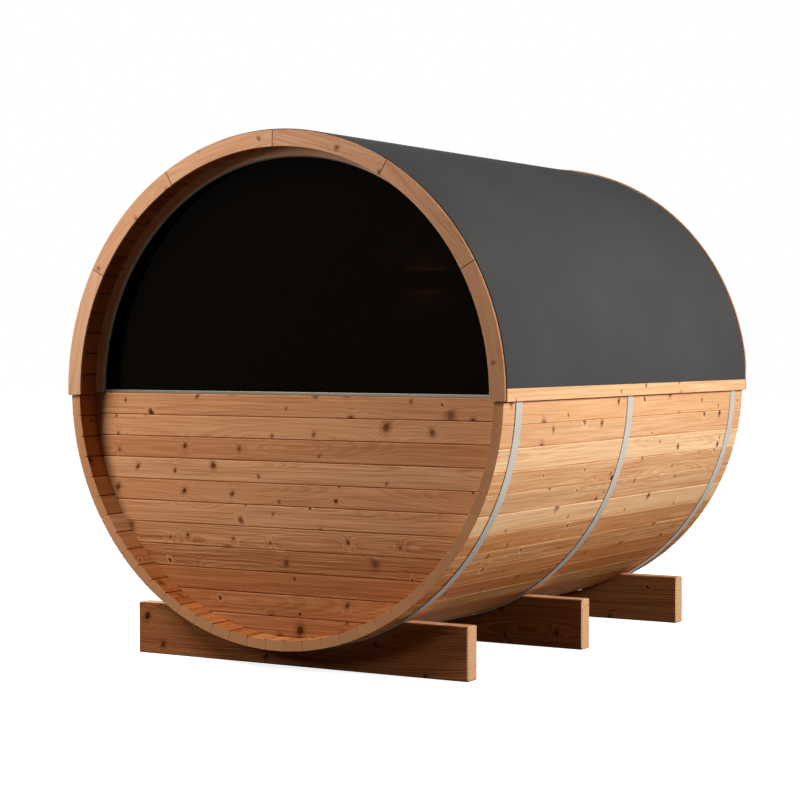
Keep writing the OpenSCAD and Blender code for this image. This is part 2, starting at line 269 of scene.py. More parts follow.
@dataclass(frozen=True)
class Wood(Finish):
    """Softwood worked out through the whole board, so that faces, edges and end grain belong together.

    A mesh gives "grain", the place in metres along, across and through the board from its pith, "board",
    three random values of the board, and "end", which is one on sawn ends.
    """

    name: str
    early: Colour
    late: Colour
    warm: Colour
    knot: Colour
    sawn: Colour
    ring: float = 0.005
    contrast: float = 0.34
    wander: float = 0.05
    spread: float = 0.12
    knot_pitch: float = 0.20
    knot_share: float = 0.7
    knot_size: Pair = (0.004, 0.012)
    roughness: float = 0.6
    low_shade_power: float = 0.0
    low_shade_power_heights: Pair = (0.72, 0.2)
    streaks: float = 1.3
    knot_row: float = 0.10

    def paint(self, graph: Graph) -> None:
        """Colour, roughness and relief of the wood.

        The rings are circles about a pith that wanders along the board, and each knot swells them. Boards
        near the ground and boards of very low tone are raised to a power above one, which makes them
        darker and richer at once: painted shade for low boards and for faces in shadow.
        """
        along, across, through = graph.split(graph.attribute("grain"))
        tone, warmth, row = graph.split(graph.attribute("board"))
        end = graph.attribute("end", "Fac")
        knot, swell, halo, rim = self._knots(graph, along, across, row)

        aside, inwards, drift = graph.split(graph.noise(graph.vector(along * 1.1, row * 3.7), 1.0, "Color"))
        ripple = graph.noise(graph.vector(along * 5.0, across * 18.0, through * 18.0 + row), 1.0)
        radius_across = across + (aside - 0.5) * (2.0 * self.wander)
        radius_through = through + (inwards - 0.5) * (2.2 * self.wander)
        distance = (radius_across ** 2.0 + radius_through ** 2.0) ** 0.5
        rings = distance / self.ring + swell + ripple * 0.8
        rings = rings + graph.noise_line(rings * 0.31 + row * 5.0) * 2.2
        phase = graph.math("FRACT", rings)
        late = graph.smooth(phase, 0.1, 0.85) * graph.smooth(phase, 1.0, 0.86)
        group = graph.noise_line(rings * 0.21 + row * 9.0)
        streak = graph.noise(graph.vector(along * 1.6, across * 55.0, through * 55.0 + row))
        line = graph.noise(graph.vector(along * 3.0, across * 190.0, through * 190.0 + row))
        fibre = graph.noise(graph.vector(along * 16.0, across * 620.0, through * 620.0))

        shade = late * self.contrast + (group - 0.5) * (0.8 * self.contrast) + (streak - 0.5) * 0.7
        shade = shade + (line - 0.5) * self.streaks + (fibre - 0.5) * 0.3 - tone * self.spread
        shade = graph.math("ADD", shade, 0.38 - self.contrast * 0.35, clamp=True)
        colour = graph.mix(shade, self.early, self.late)
        colour = graph.mix(warmth * 0.5 + (drift - 0.5) * 0.5, colour, self.warm)
        # Painted shade: a power above one near the ground and on faces of very low tone.
        _, _, height = graph.split(graph.place())
        # Faces whose tone was pushed very low, such as the staves' inner faces, are darkened as painted
        # shade.
        inner_shade = graph.math("MULTIPLY", -2.0 - tone, 0.5, clamp=True)
        power = graph.smooth(height, *self.low_shade_power_heights) * self.low_shade_power + inner_shade * 0.3 + 1.0
        colour = graph.add("ShaderNodeGamma", {}, {"Color": colour, "Gamma": power})
        colour = graph.scale(colour, 1.0 - inner_shade * 0.3)
        face = 1.0 - end
        colour = graph.mix(halo * face, colour, self.early)
        colour = graph.mix(graph.math("MAXIMUM", knot, rim * 0.35) * face, colour, self.knot)
        colour = graph.mix(end, colour, graph.scale(self._sawn(graph, late, streak), 1.0 + tone * 0.05))

        roughness = self.roughness + (streak - 0.5) * 0.12 - knot * 0.10
        relief = late * 0.4 + fibre * 0.35 + knot * 0.4
        graph.surface(graph.principled(
            Base_Color=colour,
            Roughness=roughness,
            Specular_IOR_Level=0.01,
            Normal=graph.bump(relief, 0.0004, 0.5),
        ))

    def _sawn(self, graph: Graph, late: Signal, streak: Signal) -> Signal:
        """Colour of a sawn end, where the rings show as arcs."""
        return graph.mix(late * 0.3 + (streak - 0.5) * 0.4, self.sawn, self.late)

    def _knots(self, graph: Graph, along: Signal, across: Signal, row: Signal) -> tuple[Signal, ...]:
        """Knots scattered over the face, one at most in each cell of a jittered grid.

        Args:
            graph: Node tree of the wood.
            along: Metres along the board.
            across: Metres across the board.
            row: Random row of the grid that the board lies in.

        Returns:
            The knot itself, how far it swells the rings, the pale wood round some knots and the soft
            darker wood round others.
        """
        cell_along = along / self.knot_pitch
        cell_across = across / self.knot_row + row * 57.0
        inputs = {"Vector": graph.vector(cell_along, cell_across), "Scale": 1.0, "Randomness": 0.92}
        centre = graph.add("ShaderNodeTexVoronoi", {"voronoi_dimensions": "2D"}, inputs, "Position")
        luck, size, lean = graph.split(graph.output_of(centre, "Color"))
        centre_along, centre_across, _ = graph.split(centre)
        off_along = (cell_along - centre_along) * self.knot_pitch
        off_across = (cell_across - centre_across) * self.knot_row
        off_along = off_along + off_across * (lean - 0.5) * 0.9
        present = graph.math("LESS_THAN", luck, self.knot_share)
        smallest, largest = self.knot_size
        radius = present * (smallest + (size ** 2.6) * (largest - smallest)) + 0.0002
        edge = graph.noise(graph.vector(along * 90.0, across * 90.0, row * 9.0), 2.0) - 0.5
        reach = (off_along ** 2.0 + (off_across * 0.82) ** 2.0) ** 0.5
        ratio = reach / radius + edge * 0.9
        depth = 1.0 - luck * 0.45 + graph.math("SINE", ratio * 8.0) * 0.08
        knot = graph.smooth(ratio, 1.30, 0.70) * present * depth
        pale = graph.math("GREATER_THAN", lean, 0.8) * present * 0.5
        halo = graph.smooth(ratio, 1.2, 1.6) * graph.smooth(ratio, 2.8, 1.9) * pale
        rim = graph.smooth(ratio, 2.6, 1.1) * present * (1.0 - pale)
        spread = reach / (radius * 2.2 + 0.007)
        swell = graph.math("EXPONENT", (spread ** 2.0) * -1.0) * present * (0.8 + size * 2.4)
        return knot, swell, halo, rim


@dataclass(frozen=True)
class PlainWood(Finish):
    """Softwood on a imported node, with its grain along one axis of the object."""

    name: str
    early: Colour
    late: Colour

    def paint(self, graph: Graph) -> None:
        """Streaks along the barrel, read from object coordinates."""
        x, y, z = graph.split(graph.place())
        streak = graph.noise(graph.vector(y * 1.5, x * 60.0, z * 60.0))
        fibre = graph.noise(graph.vector(y * 14.0, x * 500.0, z * 500.0))
        shade = graph.smooth(streak * 0.7 + fibre * 0.3, 0.3, 0.7)
        graph.surface(graph.principled(
            Base_Color=graph.mix(shade, self.early, self.late),
            Roughness=0.6 + (streak - 0.5) * 0.2,
            Normal=graph.bump(fibre, 0.0003, 0.5),
        ))


@dataclass(frozen=True)
class Metal(Finish):
    """Metal with fine brushed lines along the grain.

    A low metallic value stands for a dull zinc skin, and the colour is darkened towards the ground as painted
    shade.
    """

    name: str
    colour: Colour
    roughness: float = 0.34
    metallic: float = 1.0
    gloss: float = 0.5
    lower_shade: float = 0.0
    lower_shade_heights: Pair = (0.9, 0.3)

    def paint(self, graph: Graph) -> None:
        """Brushed lines and a cloudy sheen."""
        along, across, through = graph.split(graph.attribute("grain"))
        lines = graph.noise(graph.vector(along * 3.0, across * 900.0, through * 900.0), 2.0)
        cloud = graph.noise(graph.vector(along * 5.0, across * 25.0, through * 25.0), 2.0)
        _, _, height = graph.split(graph.place())
        colour = graph.mix(cloud, tint(self.colour, 0.93), tint(self.colour, 1.07))
        # Painted shade: darker towards the ground.
        colour = graph.scale(colour, 1.0 - graph.smooth(height, *self.lower_shade_heights) * self.lower_shade)
        roughness = self.roughness + (lines - 0.5) * 0.12 + (cloud - 0.5) * 0.10
        graph.surface(graph.principled(
            Base_Color=colour,
            Metallic=self.metallic,
            Roughness=roughness,
            Specular_IOR_Level=self.gloss,
            Normal=graph.bump(lines, 0.00004, 0.5),
        ))


@dataclass(frozen=True)
class Rubber(Finish):
    """Matt roof membrane with a fine pebbled skin and faint unevenness where it lies on the laths.

    Its height term keeps the pale share at its full value over the whole membrane, so only dust and skin vary
    its tone.
    """

    name: str
    colour: Colour
    pale: Colour

    def paint(self, graph: Graph) -> None:
        """Dusty tone, pebbled skin and long soft waves."""
        along, across, through = graph.split(graph.attribute("grain"))
        skin = graph.noise(graph.vector(along * 700.0, across * 700.0, through * 700.0), 2.0)
        dust = graph.noise(graph.vector(along * 2.2, across * 3.1, through * 3.1), 4.0)
        wave = graph.noise(graph.vector(along * 1.1, across * 6.0, through), 1.0)
        share = graph.smooth(through, 1.0, 0.55) * 0.8 + graph.smooth(dust, 0.35, 0.8) * 0.2
        share = share + (skin - 0.5) * 0.25
        colour = graph.mix(share, self.colour, self.pale)
        soft = graph.bump(wave, 0.004, 0.5)
        height = {"Height": skin, "Distance": 0.00025, "Strength": 0.5, "Normal": soft}
        normal = graph.add("ShaderNodeBump", {}, height)
        graph.surface(graph.principled(
            Base_Color=colour,
            Roughness=0.86 + (dust - 0.5) * 0.12,
            Specular_IOR_Level=0.04,
            Normal=normal,
        ))


@dataclass(frozen=True)
class TintedGlass(Finish):
    """Almost black toughened glass that lets a little light of the room through."""

    name: str
    colour: Colour
    alpha: float = 0.92

    def paint(self, graph: Graph) -> None:
        """Dark body with a smooth face and the faintest smears."""
        smear = graph.noise(graph.scaled_place(3.0, 3.0, 5.0), 3.0)
        graph.surface(graph.principled(
            Base_Color=self.colour,
            Roughness=0.02 + graph.smooth(smear, 0.45, 0.8) * 0.05,
            Specular_IOR_Level=0.02,
            Alpha=self.alpha,
        ))


@dataclass(frozen=True)
class Glow(Finish):
    """Frosted tube of the lamp, lit from inside."""

    name: str
    colour: Colour
    strength: float

    def paint(self, graph: Graph) -> None:
        """Warm light, a little cloudy as frosted glass is."""
        cloud = graph.noise(graph.scaled_place(40.0, 40.0, 40.0), 2.0)
        graph.surface(graph.principled(
            Base_Color=graph.mix(cloud, tint(self.colour, 0.9), self.colour),
            Roughness=0.5 + (cloud - 0.5) * 0.1,
            Emission_Color=self.colour,
            Emission_Strength=self.strength,
        ))


# The power near the ground sets how much painted shade the low staves and planks get.
STAVES = Wood(
    "spruce_staves", srgb(244, 207, 164), srgb(189, 125, 75), srgb(223, 165, 116), srgb(92, 42, 12),
    srgb(190, 138, 98), ring=0.0055, contrast=0.20, wander=0.035, spread=0.26, knot_pitch=0.26,
    knot_share=0.65, knot_size=(0.0045, 0.014), low_shade_power=0.8,
)
PLANKS = Wood(
    "spruce_planks", srgb(207, 157, 115), srgb(150, 94, 54), srgb(194, 132, 90), srgb(82, 37, 12),
    srgb(186, 132, 90), ring=0.0060, contrast=0.36, wander=0.05, spread=0.36, knot_pitch=0.19,
    knot_share=0.75, knot_size=(0.0045, 0.018), low_shade_power=0.28, streaks=1.9,
)
ARCH = Wood(
    "spruce_arch", srgb(200, 157, 124), srgb(160, 108, 72), srgb(186, 134, 98), srgb(84, 38, 12),
    srgb(124, 76, 44), ring=0.005, contrast=0.24, wander=0.03, spread=0.28, knot_pitch=0.30, knot_share=0.8,
    knot_size=(0.0055, 0.010),
)
# A lighter copy of the arch wood, as painted light on the ring, which sits in the shade of the recess.
LIT_RING = Wood(
    "spruce_ring_lit", srgb(248, 204, 172), srgb(206, 150, 112), srgb(232, 176, 140), srgb(90, 46, 20),
    srgb(124, 76, 44), ring=0.005, contrast=0.26, wander=0.03, spread=0.12, knot_pitch=0.36, knot_share=0.5,
    knot_size=(0.0035, 0.008),
)
LATHS = Wood(
    "spruce_laths", srgb(214, 166, 118), srgb(176, 124, 82), srgb(200, 142, 100), srgb(90, 48, 22),
    srgb(180, 130, 90), spread=0.08, knot_share=0.4,
)
DOOR = Wood(
    "spruce_door", srgb(226, 178, 130), srgb(188, 134, 90), srgb(214, 158, 114), srgb(96, 50, 24),
    srgb(190, 138, 96), ring=0.0045, contrast=0.30, wander=0.03, spread=0.06, knot_pitch=0.34,
    knot_share=0.35, knot_size=(0.003, 0.007),
)
# Face colours darkened as painted shade; the sawn colour is the wood's own and also paints the lit tops.
SHADED_CRADLE = Wood(
    "spruce_cradle_shaded", srgb(178, 120, 76), srgb(96, 50, 24), srgb(150, 90, 52), srgb(56, 24, 8),
    srgb(226, 176, 134), ring=0.008, contrast=0.75, wander=0.06, spread=0.12, knot_pitch=0.26,
    knot_share=0.45, knot_size=(0.006, 0.016),
)
PLAIN_LATHS = PlainWood("sawn_laths", srgb(196, 148, 104), srgb(150, 104, 66))
HOOP_STEEL = Metal("galvanised_steel", srgb(190, 185, 178), roughness=0.45, metallic=0.1, gloss=0.1,
                   lower_shade=0.5)
DOOR_STEEL = Metal("brushed_steel", srgb(150, 150, 150), roughness=0.28)
ALUMINIUM = Metal("natural_aluminium", srgb(112, 105, 93), roughness=0.36)
BEAD_METAL = Metal("dark_aluminium", srgb(84, 78, 70), roughness=0.45)
MEMBRANE = Rubber("membrane_rubber", srgb(42, 42, 42), srgb(71, 71, 71))
GLASS = TintedGlass("glass_dark_tint", srgb(6, 3, 0))
LAMP_LIGHT = Glow("lamp_tube_light", srgb(255, 190, 120), 30.0)


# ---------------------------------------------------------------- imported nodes


@dataclass(frozen=True)
class Axis:
    """The barrel axis: turns radius, angle and place along the barrel into points, and back."""

    height: float

    @classmethod
    def from_hoop(cls, node: str) -> "Axis":
        """Finds the axis as the middle of a hoop's box."""
        low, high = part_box(node)
        return cls((low.z + high.z) / 2)

    def point(self, radius: Array, angle: Array, y: Array) -> Array:
        """Points at x = radius cos angle and z = height + radius sin angle.

        Args:
            radius: Distances from the axis.
            angle: Angles about the axis.
            y: Places along the axis.

        Returns:
            Points with x, y, z in the last dimension.
        """
        radius, angle, y = np.broadcast_arrays(radius, angle, y)
        return np.stack((radius * np.cos(angle), y, self.height + radius * np.sin(angle)), axis=-1)

    def polar(self, node: str) -> tuple[Array, Array]:
        """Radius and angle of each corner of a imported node."""
        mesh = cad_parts[node].data
        flat = np.empty(len(mesh.vertices) * 3, np.float32)
        mesh.vertices.foreach_get("co", flat)
        x, _, z = flat.reshape(-1, 3).astype(float).T
        return np.hypot(x, z - self.height), np.arctan2(z - self.height, x)

    def radii(self, node: str) -> Pair:
        """Smallest and largest distance of a node's corners from the axis."""
        radius, _ = self.polar(node)
        return float(radius.min()), float(radius.max())


def lengthwise(node: str) -> Pair:
    """Where a node starts and ends along the barrel."""
    low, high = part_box(node)
    return low.y, high.y


def dress(node: str, finish: Finish) -> None:
    """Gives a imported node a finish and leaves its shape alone."""
    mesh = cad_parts[node].data
    mesh.materials.clear()
    mesh.materials.append(finish.material())
    log.info("%s: dressed as %s", node, finish.name)


# ---------------------------------------------------------------- mesh kit


def unit(vector: Array) -> Array:
    """A vector of length one in the same direction."""
    return np.asarray(vector, float) / np.linalg.norm(vector)


def spoke(angle: float) -> Array:
    """Direction away from the barrel axis at an angle."""
    return np.array((np.cos(angle), 0.0, np.sin(angle)))


def eased(start: float, stop: float, edge: float) -> Array:
    """Four places between two faces: the faces, and where their eased edges start."""
    return np.array((start, start + edge, stop - edge, stop))


def set_back(edge: float) -> Array:
    """How much a side steps back at each of those four places."""
    return np.array((edge, 0.0, 0.0, edge))


class Ends(Enum):
    """Which faces of a solid are sawn across the grain."""

    NONE = "none"
    CAPS = "caps"
    SIDES = "sides"


PITH_ALONG = 30.0
PITH_ASIDE = 0.05
PITH_DEPTH = (0.022, 0.085)
KNOT_ROWS = 9.0


@dataclass(frozen=True)
class Grain:
    """Where one board's grain runs, and the random values that make the board its own."""

    middle: Array
    along: Array
    across: Array
    pith: Array
    mark: Array

    @classmethod
    def draw(cls, rng: np.random.Generator, middle: Array, along: Array, across: Array,
             lightness: float = 0.0) -> "Grain":
        """Draws a board's values.

        Args:
            rng: Random source of the sub-assembly.
            middle: A point at the middle of the board.
            along: Direction of the grain.
            across: Direction across the face of the board.
            lightness: What is added to the board's random tone.

        Returns:
            The grain of the board.
        """
        side = 1.0 if rng.random() < 0.5 else -1.0
        pith = np.array((
            rng.uniform(0.0, PITH_ALONG),
            rng.normal(0.0, PITH_ASIDE),
            side * rng.uniform(*PITH_DEPTH),
        ))
        mark = np.array((rng.uniform(-1.0, 1.0) + lightness, rng.random(), rng.uniform(0.0, KNOT_ROWS)))
        return cls(np.asarray(middle, float), unit(along), unit(across), pith, mark)

    @classmethod
    def plain(cls, middle: Array, along: Array, across: Array) -> "Grain":
        """The grain of a piece without random values; both directions are of length one."""
        return cls(np.asarray(middle, float), along, across, np.zeros(3), np.zeros(3))

    def axes(self) -> Array:
        """The three directions of the board as rows: along, across and through."""
        return np.stack((self.along, self.across, np.cross(self.along, self.across)))

    def world(self, local: Array) -> Array:
        """Points in the frame from places along, across and through the board."""
        return self.middle + local @ self.axes()

    def local(self, world: Array) -> Array:
        """Places along, across and through the board, measured from its pith."""
        return (world - self.middle) @ self.axes().T + self.pith


class Joinery:
    """Gathers closed solids and turns them into one mesh with the values that the finishes read."""

    def __init__(self) -> None:
        """Starts with nothing."""
        self.points: list[Array] = []
        self.quads: list[Array] = []
        self.grain: list[Array] = []
        self.mark: list[Array] = []
        self.end: list[Array] = []
        self.count = 0

    def loft(self, lower: Array, upper: Array, grain: Grain, ends: Ends = Ends.NONE,
             closed: bool = False) -> None:
        """Adds the solid between two sheets that share the same stations.

        Station p of the solid is the ring lower[p, 0..m-1], upper[p, m-1..0]. Neighbouring stations are
        joined by quads, and the first and last station are closed by quads between the two sheets.

        Args:
            lower: Points of one sheet, stations by samples by three.
            upper: Points of the other sheet, of the same shape.
            grain: Grain of the board.
            ends: Which faces are sawn across the grain.
            closed: True where the last station joins the first.
        """
        ring = np.concatenate((lower, upper[:, ::-1]), axis=1)
        stations, size, _ = ring.shape
        samples = size // 2
        p = np.arange(stations if closed else stations - 1)[:, None]
        q = (p + 1) % stations
        k = np.arange(size)[None, :]
        j = (k + 1) % size
        sides = np.stack(np.broadcast_arrays(p * size + k, p * size + j, q * size + j, q * size + k), axis=-1)
        sawn = np.zeros(sides.shape[:2])
        if ends is Ends.SIDES:
            sawn[:, [samples - 1, size - 1]] = 1.0
        quads, flags = [sides.reshape(-1, 4)], [sawn.ravel()]
        if not closed:
            i = np.arange(samples - 1)
            cap = np.stack((i, i + 1, size - 2 - i, size - 1 - i), axis=-1)
            quads += [cap[:, ::-1], cap + (stations - 1) * size]
            flags += [np.full(2 * len(cap), float(ends is Ends.CAPS))]
        faces = np.concatenate(quads)
        points = ring.reshape(-1, 3)
        if self._volume(points, faces) < 0:
            faces = faces[:, ::-1]
        self.points.append(points)
        self.quads.append(faces + self.count)
        self.grain.append(grain.local(points))
        self.mark.append(np.broadcast_to(grain.mark, points.shape))
        self.end.append(np.concatenate(flags))
        self.count += len(points)

    def darken_lower(self, samples: int, amount: float) -> None:
        """Lowers the tone of the lower sheet of the solid added last.

        Args:
            samples: Points in each station of the sheet.
            amount: What is taken off the tone.
        """
        mark = self.mark[-1].reshape(-1, 2 * samples, 3).copy()
        mark[:, :samples, 0] -= amount
        self.mark[-1] = mark.reshape(-1, 3)

    def paint_upper_lit(self, samples: int) -> None:
        """Paints the upper sheet of the solid added last, between its eased edges, in the pale colour of the
        sawn ends, as a painted highlight on a lit top.

        Args:
            samples: Points in each station of the sheet.
        """
        size = 2 * samples
        self.end[-1][size + samples:2 * size - 1] = 1.0

    @staticmethod
    def _volume(points: Array, faces: Array) -> float:
        """Signed volume, the sum over triangles of a . (b x c) / 6 about the middle of the solid."""
        a, b, c, d = (points[faces[:, n]] - points.mean(axis=0) for n in range(4))
        return float((a * np.cross(b, c)).sum() + (a * np.cross(c, d)).sum()) / 6

    def prism(self, lower: Array, upper: Array, span: Pair, edge: float, grain: Grain) -> None:
        """Adds a straight board: a cross-section carried along the grain, with both ends eased.

        Args:
            lower: Chain of places across and through the board on one side.
            upper: Chain on the other side, with as many places.
            span: Where the board starts and stops along its grain, from its middle.
            edge: How much the ends are eased; zero leaves them sharp.
            grain: Grain of the board.
        """
        place = eased(*span, edge) if edge else np.array(span)
        inset = (set_back(edge) if edge else np.zeros(2))[:, None, None]
        heart = (lower.mean(axis=0) + upper.mean(axis=0)) / 2
        sheets = []
        for chain in (lower, upper):
            section = chain[None] - np.sign(chain - heart)[None] * inset
            along = np.broadcast_to(place[:, None, None], (len(place), len(chain), 1))
            sheets.append(grain.world(np.concatenate((along, section), axis=-1)))
        self.loft(sheets[0], sheets[1], grain, Ends.CAPS)

    def beam(self, width: float, thickness: float, span: Pair, edge: float, grain: Grain) -> None:
        """Adds a straight rectangular board with all its edges eased.

        Args:
            width: Size across the board.
            thickness: Size through the board.
            span: Where the board starts and stops along its grain, from its middle.
            edge: How much the edges are eased.
            grain: Grain of the board.
        """
        across = eased(-width / 2, width / 2, edge)
        skin = thickness / 2 - set_back(edge)
        lower = np.stack((across, -skin), axis=-1)
        upper = np.stack((across, skin), axis=-1)
        self.prism(lower, upper, span, edge, grain)

    def turned(self, start: Array, direction: Array, distance: Sequence[float], radius: Sequence[float],
               half_sides: int = 10) -> None:
        """Adds a turned piece: circles of the given radii at distances along a straight line.

        Args:
            start: Where distances are measured from.
            direction: Way of the line.
            distance: Distance of each circle along the line.
            radius: Radius of each circle.
            half_sides: Half the number of sides of the circles.
        """
        along = unit(direction)
        across = unit(np.cross(along, (0.3, 0.9, 0.5)))
        grain = Grain.plain(start, along, across)
        turn = (np.arange(half_sides) + 0.5) * np.pi / half_sides
        place = np.broadcast_to(np.asarray(distance, float)[:, None], (len(distance), half_sides))
        size = np.asarray(radius, float)[:, None]
        sheets = [
            grain.world(np.stack((place, size * np.cos(turn), sign * size * np.sin(turn)), axis=-1))
            for sign in (-1.0, 1.0)
        ]
        self.loft(sheets[0], sheets[1], grain)

    def rod(self, start: Array, direction: Array, length: float, places: Sequence[float],
            radii: Sequence[float], half_sides: int = 10) -> None:
        """Adds a turned bar whose two ends are alike.

        Args:
            start: Where the bar begins.
            direction: Way of the bar.
            length: Length of the bar.
            places: Distances of the first circles from the start.
            radii: Radii of those circles.
            half_sides: Half the number of sides of the circles.
        """
        near = np.asarray(places, float)
        size = np.asarray(radii, float)
        distance = np.concatenate((near, length - near[::-1]))
        self.turned(start, direction, distance, np.concatenate((size, size[::-1])), half_sides)

    def build(self, name: str, finish: Finish, slot: Optional[str], *nodes: str,
              smooth: float = 0.0) -> bpy.types.Object:
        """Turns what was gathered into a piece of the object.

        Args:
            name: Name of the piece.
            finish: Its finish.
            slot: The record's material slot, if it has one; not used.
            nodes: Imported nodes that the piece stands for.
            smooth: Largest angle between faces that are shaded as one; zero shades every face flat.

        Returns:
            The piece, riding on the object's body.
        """
        mesh = bpy.data.meshes.new(name)
        points = np.concatenate(self.points)
        quads = np.concatenate(self.quads)
        mesh.from_pydata(points.tolist(), [], quads.tolist())
        for key, rows in (("grain", self.grain), ("board", self.mark)):
            field = mesh.attributes.new(key, "FLOAT_VECTOR", "POINT")
            field.data.foreach_set("vector", np.concatenate(rows).astype(np.float32).ravel())
        sawn = mesh.attributes.new("end", "FLOAT", "FACE")
        sawn.data.foreach_set("value", np.concatenate(self.end).astype(np.float32))
        if smooth > 0.0:
            mesh.shade_smooth()
            mesh.set_sharp_from_angle(angle=smooth)
        mesh.materials.append(finish.material())
        mesh.update()
        piece = bpy.data.objects.new(name, mesh)
        bpy.context.scene.collection.objects.link(piece)
        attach(piece, ROOT)
        if nodes:
            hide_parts(*nodes)
        log.info("%s: %d faces", name, len(quads))
        return piece


X_AXIS, Y_AXIS, Z_AXIS = np.eye(3)


# ---------------------------------------------------------------- sub-assemblies


@dataclass
class StaveWall:
    """The round wall: every stave is a board of its own, grooved along its edges.

    Staves near the ground are darker, as painted shade where their faces turn down. The inside is darker
    as painted shade in the end recesses, the more so the higher it lies. Both follow the height of the
    stave's outward direction, from -1 at the foot to 1 at the top, by a slope and an offset. A groove is
    given by its half width and its depth.
    """

    axis: Axis
    low_shade: float = 0.25
    low_shade_line: Pair = (-1.4, -0.45)
    outer_groove: Pair = (0.0032, 0.0034)
    inner_groove: Pair = (0.0028, 0.0100)
    gap: float = 0.0004
    end_edge: float = 0.0005
    inner_shade: float = 4.0
    inner_shade_line: Pair = (2.0, 1.1)
    corner_depth: float = 1e-4
    joint_width: float = 0.01
    seed: int = 2486

    def joints(self, node: str) -> Array:
        """Angles of the stave joints in one segment, read off its corners on the outer radius."""
        radius, angle = self.axis.polar(node)
        middle = np.angle(np.exp(1j * angle).mean())
        turn = np.sort(np.angle(np.exp(1j * (angle - middle)))[radius > radius.max() - self.corner_depth])
        groups = np.split(turn, np.flatnonzero(np.diff(turn) > self.joint_width) + 1)
        return middle + np.array([group.mean() for group in groups])

    @staticmethod
    def share(height: float, line: Pair) -> float:
        """Value of a line of slope and offset at a height, kept between zero and one."""
        slope, offset = line
        return float(np.clip(height * slope + offset, 0.0, 1.0))

    def stave(self, mesh: Joinery, low: float, high: float, radii: Pair,
              span: Pair, rng: np.random.Generator) -> None:
        """Adds one stave, a board whose edges point at the barrel axis.

        Its half width at a distance r from the axis, measured at right angles to its face, is
        r tan(half its angle) less half the gap.

        Args:
            mesh: What the stave is added to.
            low: Angle of its lower joint.
            high: Angle of its upper joint.
            radii: Inner and outer corner radius.
            span: Where the staves start and end along the barrel.
            rng: Random source of the wall.
        """
        turn, half = (low + high) / 2, (high - low) / 2
        inner, outer = (radius * np.cos(half) for radius in radii)
        middle_y = (span[0] + span[1]) / 2
        middle_r = (inner + outer) / 2
        outwards = spoke(turn)
        sideways = np.cross(outwards, Y_AXIS)
        # Painted shade: staves turned towards the ground get a lower tone.
        low_shade = self.low_shade * self.share(outwards[2], self.low_shade_line)
        grain = Grain.draw(rng, self.axis.point(middle_r, turn, middle_y), Y_AXIS, sideways, -low_shade)

        def half_width(r: float) -> float:
            """Half width of the stave at r."""
            return r * np.tan(half) - self.gap / 2

        def chain(face: float, groove: Pair, way: float) -> Array:
            """Four places across one face, from edge to edge, with its grooves."""
            shoulder = face - way * groove[1]
            side, flat = half_width(shoulder), half_width(face) - groove[0]
            across = np.array((-side, -flat, flat, side))
            height = np.array((shoulder, face, face, shoulder)) - middle_r
            return np.stack((across, height * np.sign(np.cross(Y_AXIS, sideways) @ outwards)), axis=-1)

        lower = chain(inner, self.inner_groove, -1.0)
        upper = chain(outer, self.outer_groove, 1.0)
        mesh.prism(lower, upper, (span[0] - middle_y, span[1] - middle_y), self.end_edge, grain)
        # Painted shade on the inner face, stronger the higher the stave lies.
        mesh.darken_lower(len(lower), self.inner_shade * self.share(outwards[2], self.inner_shade_line))

    def build(self) -> None:
        """Builds all segments, each as the staves between its joints."""
        rng = np.random.default_rng(self.seed)
        for node in sorted(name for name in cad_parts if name.startswith("barrel_wall_")):
            mesh = Joinery()
            radii = self.axis.radii(node)
            joints = self.joints(node)
            radius, _ = self.axis.polar(node)
            inner = float(radius[radius < sum(radii) / 2].max())
            for low, high in zip(joints[:-1], joints[1:]):
                self.stave(mesh, low, high, (inner, radii[1]), lengthwise(node), rng)
            mesh.build(node.replace("barrel_wall", "staves"), STAVES, "stave_wood", node)


@dataclass
class Cradles:
    """Three saddles cut from heavy timber, with eased edges and sawn ends; their darkened faces are painted
    shade and their pale tops a painted highlight.
    """

    axis: Axis
    edge: float = 0.004
    saddle_steps: int = 40
    seed: int = 21

    def cradle(self, node: str, rng: np.random.Generator) -> None:
        """Builds one cradle: a board on edge whose top follows the barrel between its shoulders.

        Seen along the barrel, the top is the board's height outside the shoulders and
        height of the axis - sqrt(r^2 - x^2) between them.

        Args:
            node: Name of the cradle.
            rng: Random source of the cradles.
        """
        low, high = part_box(node)
        saddle, _ = self.axis.radii(node)
        shoulder = float(np.sqrt(saddle ** 2 - (self.axis.height - high.z) ** 2))
        turn = np.linspace(-1.0, 1.0, self.saddle_steps) * np.arcsin(shoulder / saddle)
        saddle_x = saddle * np.sin(turn)
        x = np.concatenate(((low.x, low.x + self.edge), saddle_x, (high.x - self.edge, high.x)))
        top = np.concatenate(((high.z - self.edge, high.z), self.axis.height - saddle * np.cos(turn),
                              (high.z, high.z - self.edge)))
        foot = np.full_like(x, low.z)
        foot[[0, -1]] += self.edge
        depth = eased(low.y, high.y, self.edge)
        inset = set_back(self.edge)[:, None]
        pull = np.zeros_like(x)
        pull[[0, 1]], pull[[-1, -2]] = 1.0, -1.0
        across = x[None] + pull[None] * inset
        y = np.broadcast_to(depth[:, None], across.shape)
        lower = np.stack((across, y, np.broadcast_to(foot, across.shape) + inset), axis=-1)
        upper = np.stack((across, y, np.broadcast_to(top, across.shape) - inset), axis=-1)
        middle = ((low.x + high.x) / 2, (low.y + high.y) / 2, (low.z + high.z) / 2)
        grain = Grain.draw(rng, middle, X_AXIS, Z_AXIS)
        mesh = Joinery()
        mesh.loft(lower, upper, grain, Ends.SIDES)
        # The top takes the pale colour of the sawn ends, as a painted highlight.
        mesh.paint_upper_lit(len(x))
        mesh.build(node.replace("cradle", "saddle"), SHADED_CRADLE, "cradle_timber", node)

    def build(self) -> None:
        """Builds the three cradles."""
        rng = np.random.default_rng(self.seed)
        for node in ("cradle_front", "cradle_middle", "cradle_rear"):
            self.cradle(node, rng)


